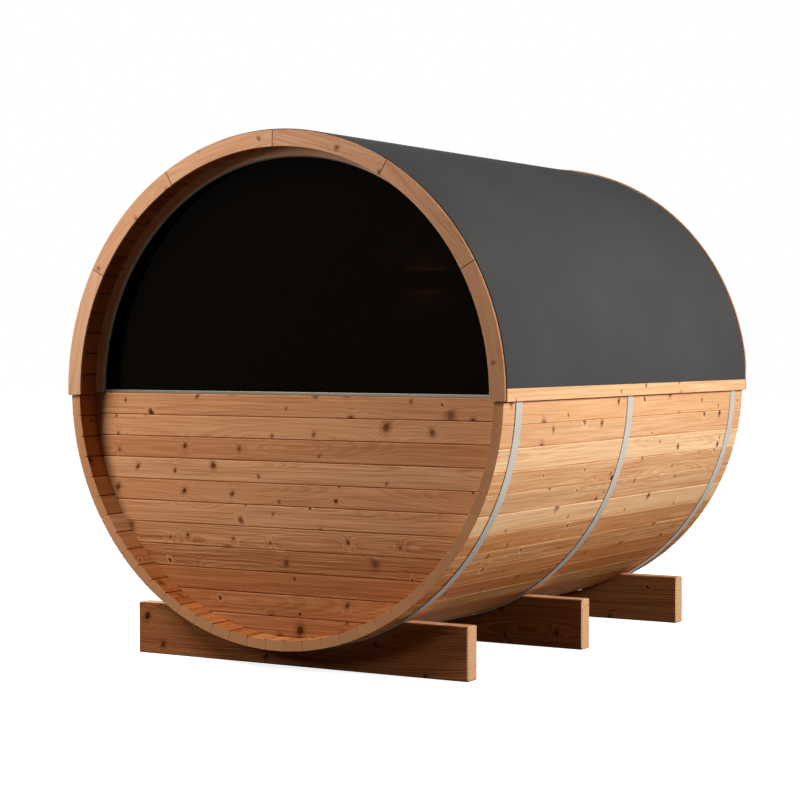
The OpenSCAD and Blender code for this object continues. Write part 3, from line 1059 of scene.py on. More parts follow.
@dataclass
class Hoops:
    """Flat steel bands round the barrel, drawn together under it by a clamp.

    The clamp has two bent lugs that stand off the band, and a bolt between them with a nut at each end.
    """

    axis: Axis
    edge: float = 0.0009
    inner_ease: float = 0.4
    steps: int = 240
    lug_turn: float = -1.62
    lug_gap: float = 0.022
    lug_share: float = 0.7
    lug_thick: float = 0.003
    lug_edge: float = 0.0006
    lug_span: Pair = (-0.001, 0.018)
    flange_shift: float = 0.014
    flange_span: Pair = (-0.015, 0.015)
    bolt_height: float = 0.55
    bolt_past: float = 0.012
    bolt_ends: tuple[Pair, Pair] = ((0.0, 0.001), (0.003, 0.004))
    nut_places: tuple[float, ...] = (0.002, 0.003, 0.008, 0.0085)
    nut_radii: tuple[float, ...] = (0.0052, 0.006, 0.006, 0.0052)

    def band(self, mesh: Joinery, node: str) -> None:
        """Adds the band, a flat section with eased edges carried round the barrel."""
        inner, outer = self.axis.radii(node)
        y = eased(*lengthwise(node), self.edge)[None]
        ease = set_back(self.edge)[None]
        turn = (np.arange(self.steps) * 2 * np.pi / self.steps)[:, None]
        lower = self.axis.point(inner + self.inner_ease * ease, turn, y)
        upper = self.axis.point(outer - ease, turn, y)
        mesh.loft(lower, upper, Grain.plain(np.zeros(3), X_AXIS, Y_AXIS), closed=True)
        place = np.repeat(turn.ravel() * outer, 2 * y.size)
        mesh.grain[-1] = np.stack((place, mesh.points[-1][:, 1], np.zeros(len(place))), axis=-1)

    def clamp(self, mesh: Joinery, node: str) -> None:
        """Adds two bent lugs and the bolt between them, under the barrel."""
        _, outer = self.axis.radii(node)
        y0, y1 = lengthwise(node)
        width = (y1 - y0) * self.lug_share
        outwards = spoke(self.lug_turn)
        sideways = np.cross(outwards, Y_AXIS)
        foot = self.axis.point(outer, self.lug_turn, (y0 + y1) / 2)
        for side in (-1.0, 1.0):
            lug = Grain.plain(foot + sideways * side * self.lug_gap / 2, outwards, Y_AXIS)
            mesh.beam(width, self.lug_thick, self.lug_span, self.lug_edge, lug)
            shift = sideways * side * (self.lug_gap / 2 + self.flange_shift)
            flange = Grain.plain(foot + shift + outwards * self.lug_thick / 2, sideways, Y_AXIS)
            mesh.beam(width, self.lug_thick, self.flange_span, self.lug_edge, flange)
        reach = self.lug_gap / 2 + self.bolt_past
        start = foot + outwards * self.lug_span[1] * self.bolt_height - sideways * reach
        mesh.rod(start, sideways, 2 * reach, *self.bolt_ends)
        nut = np.array(self.nut_places)
        for distance in (nut, 2 * reach - nut):
            mesh.turned(start, sideways, distance, self.nut_radii, half_sides=3)

    def build(self) -> None:
        """Builds the three hoops with their clamps."""
        for node in HOOPS:
            mesh = Joinery()
            self.band(mesh, node)
            self.clamp(mesh, node)
            mesh.build(node.replace("hoop", "band"), HOOP_STEEL, "hoop_steel", node, smooth=0.5)


@dataclass
class Roof:
    """Membrane over laths, with an eave batten on each side."""

    axis: Axis
    hem: float = 0.0008
    eave_gap: float = 0.0002
    turn_steps: int = 181
    length_steps: int = 13
    back_ease: float = 0.3
    batten_edge: float = 0.0015
    batten_tone: float = -0.6
    notch_gap: float = 0.001
    notch_play: float = 0.003
    notch_wall: float = 0.0001
    seed: int = 31

    def membrane(self) -> None:
        """Builds the membrane, a thin arched sheet that ends level with the battens on both sides."""
        node = "roof_membrane"
        low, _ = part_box(node)
        inner, outer = self.axis.radii(node)
        y0, y1 = lengthwise(node)
        eave = float(np.arcsin((low.z - self.axis.height) / outer)) + self.eave_gap
        turn = np.linspace(eave, np.pi - eave, self.turn_steps)[None]
        between = np.linspace(y0 + self.hem, y1 - self.hem, self.length_steps)
        y = np.concatenate(((y0,), between, (y1,)))[:, None]
        inset = np.zeros_like(y)
        inset[[0, -1]] = self.hem
        lower = self.axis.point(inner + self.back_ease * inset, turn, y)
        upper = self.axis.point(outer - inset, turn, y)
        mesh = Joinery()
        mesh.loft(lower, upper, Grain.plain((0.0, 0.0, self.axis.height), Y_AXIS, X_AXIS))
        mesh.build("membrane", MEMBRANE, "roof_membrane", node, smooth=0.5)

    def batten(self, node: str, side: float, rng: np.random.Generator) -> None:
        """Builds an eave batten, a board along the barrel that is notched behind where a hoop passes.

        Args:
            node: Name of the batten.
            side: 1 on the right and -1 on the left.
            rng: Random source of the roof.
        """
        low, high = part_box(node)
        face = max(abs(low.x), abs(high.x))
        back = min(abs(low.x), abs(high.x))
        notch = self.axis.radii(HOOPS[0])[1] + self.notch_gap
        edge, play, wall = self.batten_edge, self.notch_play, self.notch_wall
        stations = [(low.y, back, edge), (low.y + edge, back, 0.0)]
        for hoop in HOOPS:
            y0, y1 = lengthwise(hoop)
            stations += [(y0 - play, back, 0.0), (y0 - play + wall, notch, 0.0)]
            stations += [(y1 + play - wall, notch, 0.0), (y1 + play, back, 0.0)]
        stations += [(high.y - edge, back, 0.0), (high.y, back, edge)]
        y, behind, inset = (np.array(column)[:, None] for column in zip(*stations))
        ease = set_back(edge)[None]
        z = eased(low.z, high.z, edge)[None] + inset * np.array((1.0, 1.0, -1.0, -1.0))
        y, z = np.broadcast_arrays(y, z)
        lower = np.stack((side * (behind + self.back_ease * ease + self.back_ease * inset), y, z), axis=-1)
        upper = np.stack((side * (face - ease - inset), y, z), axis=-1)
        middle = (side * (face + back) / 2, 0.0, (low.z + high.z) / 2)
        mesh = Joinery()
        mesh.loft(lower, upper, Grain.draw(rng, middle, Y_AXIS, Z_AXIS, self.batten_tone), Ends.CAPS)
        mesh.build(node.replace("batten", "board"), STAVES, "stave_wood", node)

    def build(self) -> None:
        """Builds the membrane and battens, and gives the laths their finish."""
        rng = np.random.default_rng(self.seed)
        self.membrane()
        self.batten("eave_batten_left", -1.0, rng)
        self.batten("eave_batten_right", 1.0, rng)
        dress("roof_underlay", PLAIN_LATHS)


@dataclass
class ArchBoards:
    """Boards sawn to the curve of the barrel and set end to end, such as a fascia or the window's ring."""

    axis: Axis
    edge: float = 0.0014
    steps: int = 14

    def board(self, mesh: Joinery, turn: Pair, y: Array, inner: Array, outer: Array,
              half_width: Array, rng: np.random.Generator) -> None:
        """Adds one board: a section of radii at places along the barrel, carried round from angle to angle.

        Its grain runs along its chord. Its outer radius at an angle is the smaller of the full radius and
        half the arch's width over the cosine of the angle.

        Args:
            mesh: What the board is added to.
            turn: Angles where it starts and stops.
            y: Places along the barrel.
            inner: Inner radius at each place.
            outer: Full outer radius at each place.
            half_width: Half the width of the whole arch at each place.
            rng: Random source of the arch.
        """
        angle = np.linspace(turn[0], turn[1], self.steps)[:, None]
        foot = half_width[None] / np.maximum(np.abs(np.cos(angle)), 1e-6)
        lower = self.axis.point(inner[None], angle, y[None])
        upper = self.axis.point(np.minimum(outer[None], foot), angle, y[None])
        middle_turn = sum(turn) / 2
        radius = (inner.min() + outer.max()) / 2
        outwards = spoke(middle_turn)
        middle = self.axis.point(radius, middle_turn, float(y.mean()))
        grain = Grain.draw(rng, middle, np.cross(Y_AXIS, outwards), outwards)
        mesh.loft(lower, upper, grain, Ends.CAPS)


@dataclass
class Fascia(ArchBoards):
    """The arch that closes the roof's end, in boards with open joints."""

    boards: int = 6
    joint: float = 0.0032
    back_ease: float = 0.25
    seed: int = 14103

    def build(self, node: str) -> None:
        """Builds one arch over the whole sweep of its node.

        Each arch draws its boards from a source of its own. The edges on its outer face are eased in full.
        """
        rng = np.random.default_rng(self.seed + len(node))
        low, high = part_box(node)
        inner, outer = self.axis.radii(node)
        radius, angle = self.axis.polar(node)
        lowest = int(np.argmin(radius * np.sin(angle)))
        foot = float(np.arcsin(np.sin(angle[lowest])))
        side = 1.0 if low.y > 0 else -1.0
        y = eased(low.y, high.y, self.edge)
        bite = np.array((1.0, 0.0, 0.0, self.back_ease))[::-int(side)] * self.edge
        joints = np.linspace(foot, np.pi - foot, self.boards + 1)
        slack = self.joint / 2 / outer
        mesh = Joinery()
        for start, stop in zip(joints[:-1], joints[1:]):
            self.board(mesh, (start + slack, stop - slack), y, inner + bite, outer - bite, high.x - bite, rng)
        mesh.build(node.replace("fascia", "arch"), ARCH, "fascia_wood", node)


@dataclass
class BoardWall:
    """An end wall of level boards, grooved where they meet, whose ends follow the staves.

    Boards near the ground are darker, as painted shade. Joints are counted down from the top, and
    a board that would be lower than least is left out.
    """

    axis: Axis
    radius: float
    top: float
    least: float = 0.001
    low_shade: float = 0.3
    cover: float = 0.0895
    groove: float = 0.0036
    gap: float = 0.0010
    margin: float = 0.0004
    back_ease: float = 0.6
    samples: int = 14

    def levels(self, low: float, high: float) -> list[Pair]:
        """Lower and upper joint of each board that reaches between two heights."""
        first = int(np.ceil((self.top - high) / self.cover - 1e-6)) - 1
        last = int(np.floor((self.top - low) / self.cover + 1e-6))
        found = []
        for n in range(first, last + 1):
            upper, lower = self.top - n * self.cover, self.top - (n + 1) * self.cover
            if min(upper, high) - max(lower, low) > self.least:
                found.append((max(lower, low), min(upper, high)))
        return found

    def reach(self, z: Array) -> Array:
        """Half width of the wall at a height, sqrt(r^2 - h^2)."""
        return np.sqrt(np.maximum(self.radius ** 2 - (z - self.axis.height) ** 2, 1e-8))

    def board(self, mesh: Joinery, level: Pair, faces: Pair,
              left: Callable[[Array], Array], right: Callable[[Array], Array],
              kinks: Sequence[float], rng: np.random.Generator) -> None:
        """Adds one board between two heights.

        Args:
            mesh: What the board is added to.
            level: Heights of its two joints.
            faces: Where its outer and inner face lie along the barrel.
            left: Where it starts, as a function of height.
            right: Where it stops, as a function of height.
            kinks: Heights at which an end changes its way.
            rng: Random source of the wall.
        """
        low, high = level[0] + self.gap / 2, level[1] - self.gap / 2
        groove = min(self.groove, (high - low) / 4)
        inner = np.linspace(0.0, np.pi, self.samples)
        z = (low + high) / 2 - (high - low - 2 * groove) / 2 * np.cos(inner)
        extra = [kink for kink in kinks if low + groove < kink < high - groove]
        z = np.sort(np.concatenate(((low,), z, extra, (high,))))
        ease = np.zeros_like(z)
        ease[[0, -1]] = groove
        outer_face, inner_face = faces
        inwards = np.sign(inner_face - outer_face)
        x = np.stack((left(z), right(z)))
        sheets = [
            np.stack((x, np.broadcast_to(face, x.shape), np.broadcast_to(z, x.shape)), axis=-1)
            for face in (outer_face + inwards * ease, inner_face - inwards * self.back_ease * ease)
        ]
        middle = (0.0, sum(faces) / 2, (low + high) / 2)
        # Painted shade: the lower the board, the lower its tone.
        low_shade = self.low_shade * (self.top - middle[2])
        mesh.loft(sheets[0], sheets[1], Grain.draw(rng, middle, X_AXIS, Z_AXIS, -low_shade), Ends.CAPS)


@dataclass
class WindowEnd:
    """The closed end: boards below, and a half-moon of tinted glass in a timber ring above."""

    axis: Axis
    ring_boards: int = 6
    ring_shift: float = 0.084
    ring_joint: float = 0.0008
    ring_edge: float = 0.0015
    ring_least: float = 0.1
    rebate_gap: float = 0.0003
    rebate_wall: float = 0.0004
    bead_round: float = 0.0012
    bead_steps: int = 121
    sill_round: float = 0.0016
    sill_edge: float = 0.0005
    seed: int = 6050

    def corner(self) -> tuple[Array, Array]:
        """Sine and cosine at five places round a quarter circle."""
        phase = np.linspace(0.0, np.pi / 2, 5)
        return np.sin(phase), np.cos(phase)

    def wall(self) -> None:
        """Builds the boards under the window."""
        node = "front_wall"
        low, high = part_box(node)
        rng = np.random.default_rng(self.seed)
        wall = BoardWall(self.axis, self.axis.radii(node)[1], high.z)
        mesh = Joinery()
        for level in wall.levels(low.z + wall.margin, high.z):
            wall.board(mesh, level, (low.y, high.y), lambda z: -wall.reach(z), wall.reach, (), rng)
        mesh.build("front_planks", PLANKS, "plank_wood", node)

    def ring(self) -> None:
        """Builds the ring in boards, with the rebate for the glass behind."""
        node = "window_ring"
        low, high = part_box(node)
        inner, outer = self.axis.radii(node)
        glass_front, _ = lengthwise("window_glass")
        rebate = self.axis.radii("window_glass")[1] + self.rebate_gap
        foot = float(np.arcsin((low.z - self.axis.height) / outer))
        arch = ArchBoards(self.axis)
        ease, front = self.ring_edge, glass_front - self.rebate_wall
        y = np.array((low.y, low.y + ease, front, glass_front, high.y - ease, high.y))
        inwards = np.array((inner + ease, inner, inner, rebate, rebate, rebate + ease))
        outwards = np.array((outer - ease, outer, outer, outer, outer, outer - ease))
        steps = np.arange(-self.ring_boards, self.ring_boards)
        joints = np.pi / 2 + self.ring_shift + steps * np.pi / self.ring_boards
        joints = joints[(joints > foot + self.ring_least) & (joints < np.pi - foot - self.ring_least)]
        joints = np.concatenate(((foot,), joints, (np.pi - foot,)))
        rng = np.random.default_rng(self.seed + 1)
        mesh = Joinery()
        slack = self.ring_joint / 2 / outer
        for start, stop in zip(joints[:-1], joints[1:]):
            arch.board(mesh, (start + slack, stop - slack), y, inwards, outwards, outwards, rng)
        mesh.build("window_arch", LIT_RING, "fascia_wood", node)

    def bead(self) -> None:
        """Builds the metal bead, a small section with a rounded nose carried round the glass."""
        node = "window_bead"
        inner, outer = self.axis.radii(node)
        y0, y1 = lengthwise(node)
        turn = np.linspace(0.0, np.pi, self.bead_steps)[:, None]
        sine, cosine = self.corner()
        nose_y = y0 + self.bead_round * (1.0 - sine)
        nose_r = self.bead_round * (1.0 - cosine)
        y = np.concatenate((nose_y[::-1], (y1,)))[None]
        ease = np.concatenate((nose_r[::-1], (0.0,)))[None]
        lower = self.axis.point(inner + ease, turn, y)
        upper = self.axis.point(outer - ease, turn, y)
        mesh = Joinery()
        mesh.loft(lower, upper, Grain.plain(np.zeros(3), X_AXIS, Y_AXIS))
        place = np.repeat(turn.ravel() * outer, 2 * y.size)
        mesh.grain[-1] = np.stack((place, *mesh.points[-1].T[1:]), axis=-1)
        mesh.build("glazing_bead", BEAD_METAL, "rail_aluminium", node, smooth=0.6)

    def sill(self) -> None:
        """Builds the metal sill rail with rounded edges."""
        node = "window_sill"
        low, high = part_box(node)
        middle = np.array((low + high)) / 2
        sine, cosine = self.corner()
        corner = self.sill_round
        half_depth, half_height = (high.y - low.y) / 2, (high.z - low.z) / 2
        across = np.concatenate((-half_depth + corner * (1 - sine)[::-1], half_depth - corner * (1 - sine)))
        across = np.sort(across)
        lift = half_height - corner + corner * np.concatenate((cosine[::-1], cosine))
        lower = np.stack((across, -lift), axis=-1)
        upper = np.stack((across, lift), axis=-1)
        mesh = Joinery()
        span = (low.x - middle[0], high.x - middle[0])
        mesh.prism(lower, upper, span, self.sill_edge, Grain.plain(middle, X_AXIS, Y_AXIS))
        mesh.build("sill_rail", ALUMINIUM, "rail_aluminium", node, smooth=0.6)

    def build(self) -> None:
        """Builds the whole window end."""
        self.wall()
        self.ring()
        self.bead()
        self.sill()
        dress("window_glass", GLASS)


@dataclass
class Hinges:
    """Three butt hinges: plates with their screws, and a knuckle in several lengths round a pin."""

    length: float = 0.110
    plate: float = 0.003
    plate_gap: float = 0.001
    plate_edge: float = 0.0006
    screw_lifts: tuple[float, ...] = (-0.038, 0.0, 0.038)
    screw_share: float = 0.66
    screw_sunk: float = 0.0002
    screw_places: tuple[float, ...] = (0.0, 0.0004, 0.0009, 0.0010)
    screw_radii: tuple[float, ...] = (0.0045, 0.0042, 0.0026, 0.0010)
    knuckles: int = 5
    knuckle_joint: float = 0.0007
    knuckle_edge: float = 0.0005
    pin_short: float = 0.0008
    pin_radius: float = 0.004

    def plates(self, mesh: Joinery, x: float, y: float, z: float, half_width: float) -> None:
        """Adds both plates of one hinge with their screws.

        Args:
            mesh: What they are added to.
            x: Middle of the hinge across the door.
            y: Where the plates lie on the door.
            z: Middle of the hinge in height.
            half_width: Half the width of the open hinge.
        """
        width = half_width - self.plate_gap
        for side in (-1.0, 1.0):
            middle = (x + side * (half_width + self.plate_gap) / 2, y + self.plate / 2, z)
            grain = Grain.plain(middle, Z_AXIS, X_AXIS)
            mesh.beam(width, self.plate, (-self.length / 2, self.length / 2), self.plate_edge, grain)
            for lift in self.screw_lifts:
                screw = (x + side * half_width * self.screw_share, y + self.plate - self.screw_sunk, z + lift)
                mesh.turned(screw, Y_AXIS, self.screw_places, self.screw_radii, half_sides=8)

    def knuckle(self, mesh: Joinery, x: float, y: float, foot: float, radius: float) -> None:
        """Adds the lengths of one knuckle and its pin.

        Args:
            mesh: What they are added to.
            x: Place of the pin across the door.
            y: Place of the pin through the door.
            foot: Lower end of the hinge.
            radius: Radius of the knuckle.
        """
        share = self.length / self.knuckles
        radii = radius - np.array((self.knuckle_edge, 0.0))
        for n in range(self.knuckles):
            start = (x, y, foot + n * share + self.knuckle_joint / 2)
            length = share - self.knuckle_joint
            mesh.rod(start, Z_AXIS, length, (0.0, self.knuckle_edge), radii, half_sides=12)
        mesh.rod((x, y, foot), Z_AXIS, self.length, (self.pin_short,), (self.pin_radius,), half_sides=8)

    def build(self) -> None:
        """Builds the three hinges in one piece."""
        node = "door_hinges"
        low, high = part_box(node)
        x, radius = (low.x + high.x) / 2, (high.y - low.y) / 2
        mesh = Joinery()
        for z in np.linspace(low.z + self.length / 2, high.z - self.length / 2, 3):
            self.plates(mesh, x, low.y, z, (high.x - low.x) / 2)
            self.knuckle(mesh, x, low.y + radius, z - self.length / 2, radius)
        mesh.build("hinge_set", DOOR_STEEL, "door_steel", node, smooth=0.6)


@dataclass
class DoorEnd:
    """The end with the door: boards round the opening, frame, glazed leaf, hinges and pull."""

    axis: Axis
    top: float
    edge: float = 0.002
    leaf_gap: float = 0.003
    rail_step: float = 0.0006
    rail_gap: float = 0.0003
    pane_lap: float = 0.008
    groove_play: float = 0.0006
    groove_wall: float = 0.0002
    bead_size: float = 0.012
    bead_edge: float = 0.0025
    bead_gap: float = 0.0003
    dome: float = 0.35
    post_inset: float = 0.06
    post_places: tuple[float, ...] = (0.0, 0.0035, 0.0045, 0.0046)
    post_radii: tuple[float, ...] = (0.0125, 0.0125, 0.0115, 0.0084, 0.0084)
    post_bite: float = 0.004
    seed: int = 71

    def walls(self) -> None:
        """Builds the boards of the four pieces of wall round the door."""
        radius = self.axis.radii("rear_wall_left")[1]
        inside_left, inside_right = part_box("rear_wall_left")[1].x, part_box("rear_wall_right")[0].x
        corner = float(np.sqrt(radius ** 2 - inside_left ** 2))
        kinks = (self.axis.height + corner, self.axis.height - corner)
        wall = BoardWall(self.axis, radius, self.top)
        between = (lambda z: np.maximum(-wall.reach(z), inside_left),
                   lambda z: np.minimum(wall.reach(z), inside_right))
        sides = {
            "rear_wall_left": (lambda z: -wall.reach(z), lambda z: np.full_like(z, inside_left)),
            "rear_wall_right": (lambda z: np.full_like(z, inside_right), wall.reach),
            "rear_wall_over_door": between,
            "rear_wall_below_door": between,
        }
        rng = np.random.default_rng(self.seed)
        for node, (left, right) in sides.items():
            low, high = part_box(node)
            mesh = Joinery()
            for level in wall.levels(low.z + wall.margin, high.z - wall.margin):
                wall.board(mesh, level, (high.y, low.y), left, right, kinks, rng)
            mesh.build(node.replace("wall", "planks"), PLANKS, "plank_wood", node)

    def door_frame(self) -> None:
        """Builds the two jambs, the head and the threshold."""
        node = "door_frame"
        low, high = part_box(node)
        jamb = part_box("door_leaf")[0].x - low.x - self.leaf_gap
        depth, middle_y, middle_z = high.y - low.y, (low.y + high.y) / 2, (low.z + high.z) / 2
        half_height, half_width = (high.z - low.z) / 2, (high.x - low.x) / 2
        rng = np.random.default_rng(self.seed + 1)
        mesh = Joinery()
        for side in (-1.0, 1.0):
            upright = Grain.draw(rng, (side * (half_width - jamb / 2), middle_y, middle_z), Z_AXIS, Y_AXIS)
            mesh.beam(depth, jamb, (-half_height, half_height), self.edge, upright)
            level_z = middle_z + side * (half_height - jamb / 2)
            level = Grain.draw(rng, (0.0, middle_y, level_z), X_AXIS, Y_AXIS)
            mesh.beam(depth - self.rail_step, jamb, (-half_width + jamb, half_width - jamb), self.edge, level)
        mesh.build("frame_boards", DOOR, "door_wood", node)

    def member(self, mesh: Joinery, middle: Array, along: Array, inwards: Array, size: Pair,
               span: Pair, groove: Pair, rng: np.random.Generator) -> None:
        """Adds a stile or rail with a groove for the pane along its inner edge.

        Args:
            mesh: What the member is added to.
            middle: Its middle.
            along: Direction of its grain.
            inwards: Direction towards the pane.
            size: Width of the member towards the pane, and its thickness.
            span: Where it starts and stops from its middle.
            groove: Depth and width of the groove.
            rng: Random source of the door.
        """
        width, thick = size
        depth, slot = groove
        edge, wall = self.edge, self.groove_wall
        grain = Grain.draw(rng, middle, along, np.cross(along, inwards))
        way = float(np.sign(np.cross(along, grain.across) @ inwards))
        half = thick / 2
        across = np.array((-half, -half + edge, -slot / 2 - wall, -slot / 2,
                           slot / 2, slot / 2 + wall, half - edge, half))
        outer = np.array((-edge, 0.0, 0.0, 0.0, 0.0, 0.0, 0.0, -edge)) + width / 2
        inner = np.array((-edge, 0.0, 0.0, -depth, -depth, 0.0, 0.0, -edge)) + width / 2
        lower = np.stack((across, -way * outer), axis=-1)
        upper = np.stack((across, way * inner), axis=-1)
        mesh.prism(lower, upper, span, 0.0, grain)

    def leaf(self) -> None:
        """Builds the stiles and rails of the leaf, and the beads that hold the pane."""
        node = "door_leaf"
        low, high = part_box(node)
        pane_low, pane_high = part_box("door_glass")
        lap = self.pane_lap
        thick, middle_y = high.y - low.y, (low.y + high.y) / 2
        sight = (pane_low.x + lap, pane_high.x - lap, pane_low.z + lap, pane_high.z - lap)
        groove = (lap + self.groove_play, pane_high.y - pane_low.y + self.groove_play)
        stile = sight[0] - low.x
        middle_z, half_height = (low.z + high.z) / 2, (high.z - low.z) / 2
        rng = np.random.default_rng(self.seed + 2)
        mesh = Joinery()
        upright = (-half_height, half_height)
        level = (sight[0] + self.rail_gap, sight[1] - self.rail_gap)
        for side in (-1.0, 1.0):
            middle = np.array((side * (high.x - stile / 2), middle_y, middle_z))
            self.member(mesh, middle, Z_AXIS, -side * X_AXIS, (stile, thick), upright, groove, rng)
        for foot, head, way in ((low.z, sight[2], 1.0), (sight[3], high.z, -1.0)):
            middle = np.array((0.0, middle_y, (foot + head) / 2))
            self.member(mesh, middle, X_AXIS, way * Z_AXIS, (head - foot, thick), level, groove, rng)
        self.beads(mesh, sight, (pane_low.y, pane_high.y), rng)
        mesh.build("door_timber", DOOR, "door_wood", node)

    def beads(self, mesh: Joinery, sight: tuple[float, ...], pane: Pair,
              rng: np.random.Generator) -> None:
        """Adds four slim beads against each face of the pane."""
        size = self.bead_size
        left, right, foot, head = sight
        for face, way in ((pane[0], -1.0), (pane[1], 1.0)):
            y = face + way * (size / 2 + self.bead_gap)
            for x in (left + size / 2, right - size / 2):
                grain = Grain.draw(rng, (x, y, (foot + head) / 2), Z_AXIS, Y_AXIS)
                half = (head - foot) / 2
                mesh.beam(size, size, (-half, half), self.bead_edge, grain)
            for z in (foot + size / 2, head - size / 2):
                grain = Grain.draw(rng, ((left + right) / 2, y, z), X_AXIS, Y_AXIS)
                half = (right - left) / 2 - size
                mesh.beam(size, size, (-half, half), self.bead_edge, grain)

    def pull(self) -> None:
        """Builds the pull: a round bar with domed ends on two posts with flanges."""
        node = "door_pull"
        low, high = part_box(node)
        radius = (high.x - low.x) / 2
        x, bar_y = (low.x + high.x) / 2, high.y - radius
        phase = np.linspace(0.0, np.pi / 2, 6)
        places = radius * self.dome * (1 - np.cos(phase))
        radii = radius * (1 - self.dome + self.dome * np.sin(phase))
        mesh = Joinery()
        mesh.rod((x, bar_y, low.z), Z_AXIS, high.z - low.z, places, radii, half_sides=16)
        reach = bar_y - low.y - self.post_bite
        for z in (low.z + self.post_inset, high.z - self.post_inset):
            circles = (*self.post_places, reach)
            mesh.turned((x, low.y, z), Y_AXIS, circles, self.post_radii, half_sides=12)
        mesh.build("pull_bar", DOOR_STEEL, "door_steel", node, smooth=0.6)

    def build(self) -> None:
        """Builds the whole door end."""
        self.walls()
        self.door_frame()
        self.leaf()
        self.pull()
        Hinges().build()
        dress("door_glass", GLASS)


@dataclass
class WallLamp:
    """A board shade, open above and below, with a lit tube behind it."""

    board: float = 0.012
    tube: float = 0.009
    tube_share: float = 0.7
    tube_depth: float = 0.026
    tube_cap: float = 0.2
    edge: float = 0.0012
    seed: int = 81

    def build(self) -> None:
        """Builds the shade in three boards, and the tube."""
        node = "wall_lamp"
        low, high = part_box(node)
        middle_x, middle_z = (low.x + high.x) / 2, (low.z + high.z) / 2
        width, depth, height = high.x - low.x, high.y - low.y, high.z - low.z
        rng = np.random.default_rng(self.seed)
        mesh = Joinery()
        front = Grain.draw(rng, (middle_x, low.y + self.board / 2, middle_z), X_AXIS, Z_AXIS)
        mesh.beam(height, self.board, (-width / 2, width / 2), self.edge, front)
        side_depth = depth - self.board
        for side in (-1.0, 1.0):
            middle = (middle_x + side * (width - self.board) / 2, high.y - side_depth / 2, middle_z)
            mesh.beam(height, self.board, (-side_depth / 2, side_depth / 2), self.edge,
                      Grain.draw(rng, middle, Y_AXIS, Z_AXIS))
        mesh.build("lamp_shade", LATHS, "lath_wood", node)
        light = Joinery()
        length = width * self.tube_share
        phase = np.linspace(self.tube_cap, np.pi / 2, 5)
        start = (middle_x - length / 2, high.y - self.tube_depth, middle_z)
        light.rod(start, X_AXIS, length, self.tube * (1 - np.cos(phase)), self.tube * np.sin(phase))
        light.build("lamp_tube", LAMP_LIGHT, None, smooth=0.8)


# ---------------------------------------------------------------- studio


@dataclass(frozen=True)
class SoftLight:
    """A rectangular soft light.

    Its power is in watts and its colour is linear. Glass and metal show none of it where mirrored is false.
    """

    name: str
    place: Point
    target: Point
    size: Pair
    power: float
    colour: Point
    mirrored: bool = True

    def hang(self) -> None:
        """Adds the light to the scene, turned towards its target."""
        data = bpy.data.lights.new(self.name, "AREA")
        data.shape = "RECTANGLE"
        data.size, data.size_y = self.size
        data.energy = self.power
        data.color = self.colour
        light = bpy.data.objects.new(self.name, data)
        light.location = self.place
        light.visible_glossy = self.mirrored
        light.rotation_mode = "QUATERNION"
        light.rotation_quaternion = (Vector(self.target) - Vector(self.place)).to_track_quat("-Z", "Y")
        bpy.context.scene.collection.objects.link(light)


WHITE = (1.0, 1.0, 1.0, 1.0)
NEUTRAL = (1.0, 0.985, 0.96)
WARM = (1.0, 0.97, 0.94)
LIGHTS = (
    SoftLight("key_light", (5.5, 0.2, 3.1), (0.0, 0.0, 1.1), (2.4, 2.0), 370.0, NEUTRAL),
    SoftLight("fill_light", (-2.2, -3.4, 3.8), (0.1, -1.1, 1.2), (1.4, 1.4), 180.0, WARM),
    SoftLight("low_fill_light", (-3.0, -5.4, 2.4), (0.1, -1.1, 1.2), (1.6, 1.6), 72.0, WARM, mirrored=False),
    SoftLight("rear_light", (-4.2, 5.4, 2.7), (0.0, 0.6, 1.1), (2.4, 2.0), 420.0, NEUTRAL),
)


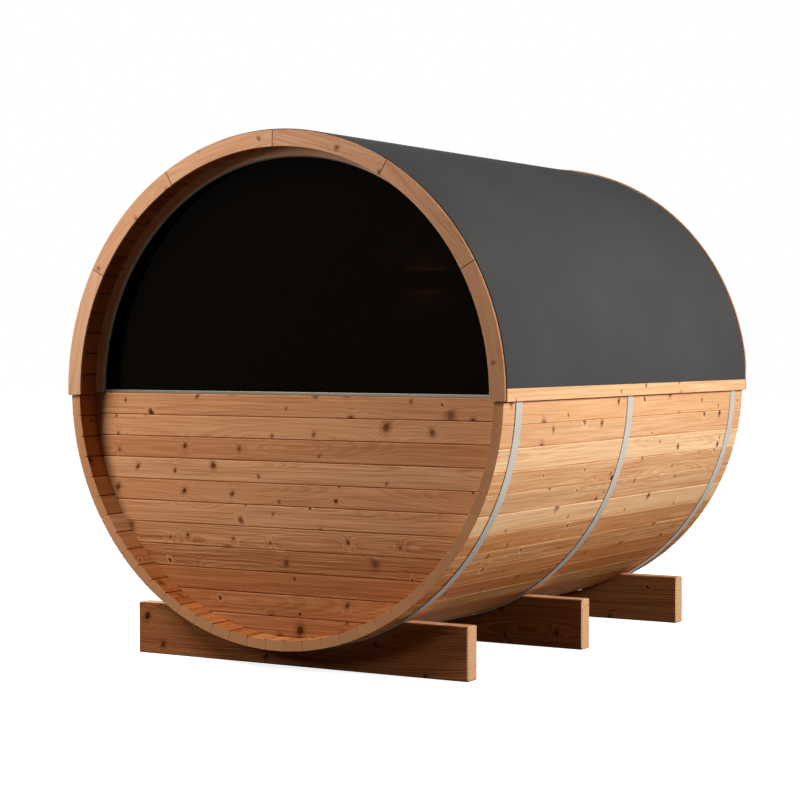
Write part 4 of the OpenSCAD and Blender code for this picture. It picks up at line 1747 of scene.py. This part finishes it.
@dataclass
class Studio:
    """Floor, soft lights, white surroundings and the camera.

    The floor's glow goes from its first value at the near distance to its second at the far one, both
    measured from the middle. The camera dips below level and turns from +Y towards -X, both in degrees.
    """

    floor_size: float = 80.0
    near: float = 2.0
    far: float = 7.0
    glow: Pair = (0.80, 1.02)
    floor_shade: Colour = (0.09, 0.065, 0.04, 1.0)
    floor_white: Colour = (0.80, 0.80, 0.80, 1.0)
    ambient: float = 0.02
    lens: float = 95.52
    sensor: float = 36.0
    eye: Point = (4.729, -8.189, 1.311)
    dip: float = 1.553
    turn: float = 30.675

    def floor(self) -> None:
        """Lays a pale floor that shows white and keeps the object's shadow."""
        half = self.floor_size / 2
        mesh = bpy.data.meshes.new("studio_floor")
        corners = [(-half, -half, 0.0), (half, -half, 0.0), (half, half, 0.0), (-half, half, 0.0)]
        mesh.from_pydata(corners, [], [(0, 1, 2, 3)])
        material = bpy.data.materials.new("studio_floor")
        graph = Graph(material)
        seen = self._seen(graph)
        away = graph.add("ShaderNodeVectorMath", {"operation": "LENGTH"}, {0: graph.place()}, "Value")
        low, high = self.glow
        light = low + graph.smooth(away, self.near, self.far) * (high - low)
        matt = graph.add("ShaderNodeBsdfDiffuse", {}, {"Color": self.floor_shade})
        bright = graph.add("ShaderNodeBsdfDiffuse", {}, {"Color": self.floor_white})
        lift = graph.add("ShaderNodeEmission", {}, {"Color": WHITE, "Strength": light})
        white = graph.add("ShaderNodeAddShader", {}, {0: bright, 1: lift})
        graph.surface(graph.add("ShaderNodeMixShader", {}, {0: seen, 1: matt, 2: white}))
        mesh.materials.append(material)
        floor = bpy.data.objects.new("studio_floor", mesh)
        bpy.context.scene.collection.objects.link(floor)

    @staticmethod
    def _seen(graph: Graph) -> Signal:
        """One for rays from the camera, from gloss and through glass."""
        camera = graph.add("ShaderNodeLightPath", {}, {}, "Is Camera Ray")
        glossy = graph.output_of(camera, "Is Glossy Ray")
        through = graph.output_of(camera, "Is Transmission Ray")
        return graph.math("MAXIMUM", graph.math("MAXIMUM", camera, glossy), through)

    def surroundings(self) -> None:
        """White surroundings to the eye and to gloss, dim ones for light."""
        world = bpy.data.worlds.new("studio")
        bpy.context.scene.world = world
        graph = Graph(world)
        seen = self._seen(graph)
        strength = seen * (1.0 - self.ambient) + self.ambient
        shade = graph.add("ShaderNodeBackground", {}, {"Color": WHITE, "Strength": strength})
        graph.add("ShaderNodeOutputWorld", {}, {"Surface": shade})

    def camera(self) -> None:
        """Sets up the camera at the viewing angle, with a long lens."""
        data = bpy.data.cameras.new("camera")
        data.lens = self.lens
        data.sensor_width = self.sensor
        camera = bpy.data.objects.new("camera", data)
        camera.location = self.eye
        camera.rotation_euler = np.radians((90.0 - self.dip, 0.0, self.turn)).tolist()
        bpy.context.scene.collection.objects.link(camera)
        bpy.context.scene.camera = camera
        bpy.context.scene.view_settings.view_transform = "Standard"

    def build(self) -> None:
        """Sets up the whole studio."""
        self.floor()
        self.surroundings()
        for light in LIGHTS:
            light.hang()
        self.camera()


def main() -> None:
    """Builds every sub-assembly in turn, then the studio."""
    logging.basicConfig(level=logging.INFO, format="%(name)s: %(message)s")
    axis = Axis.from_hoop("hoop_front")
    joint_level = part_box("front_wall")[1].z
    Cradles(axis).build()
    StaveWall(axis).build()
    Hoops(axis).build()
    Roof(axis).build()
    for node in ("front_fascia", "rear_fascia"):
        Fascia(axis).build(node)
    WindowEnd(axis).build()
    DoorEnd(axis, joint_level).build()
    WallLamp().build()
    Studio().build()


if __name__ == "__main__":
    main()
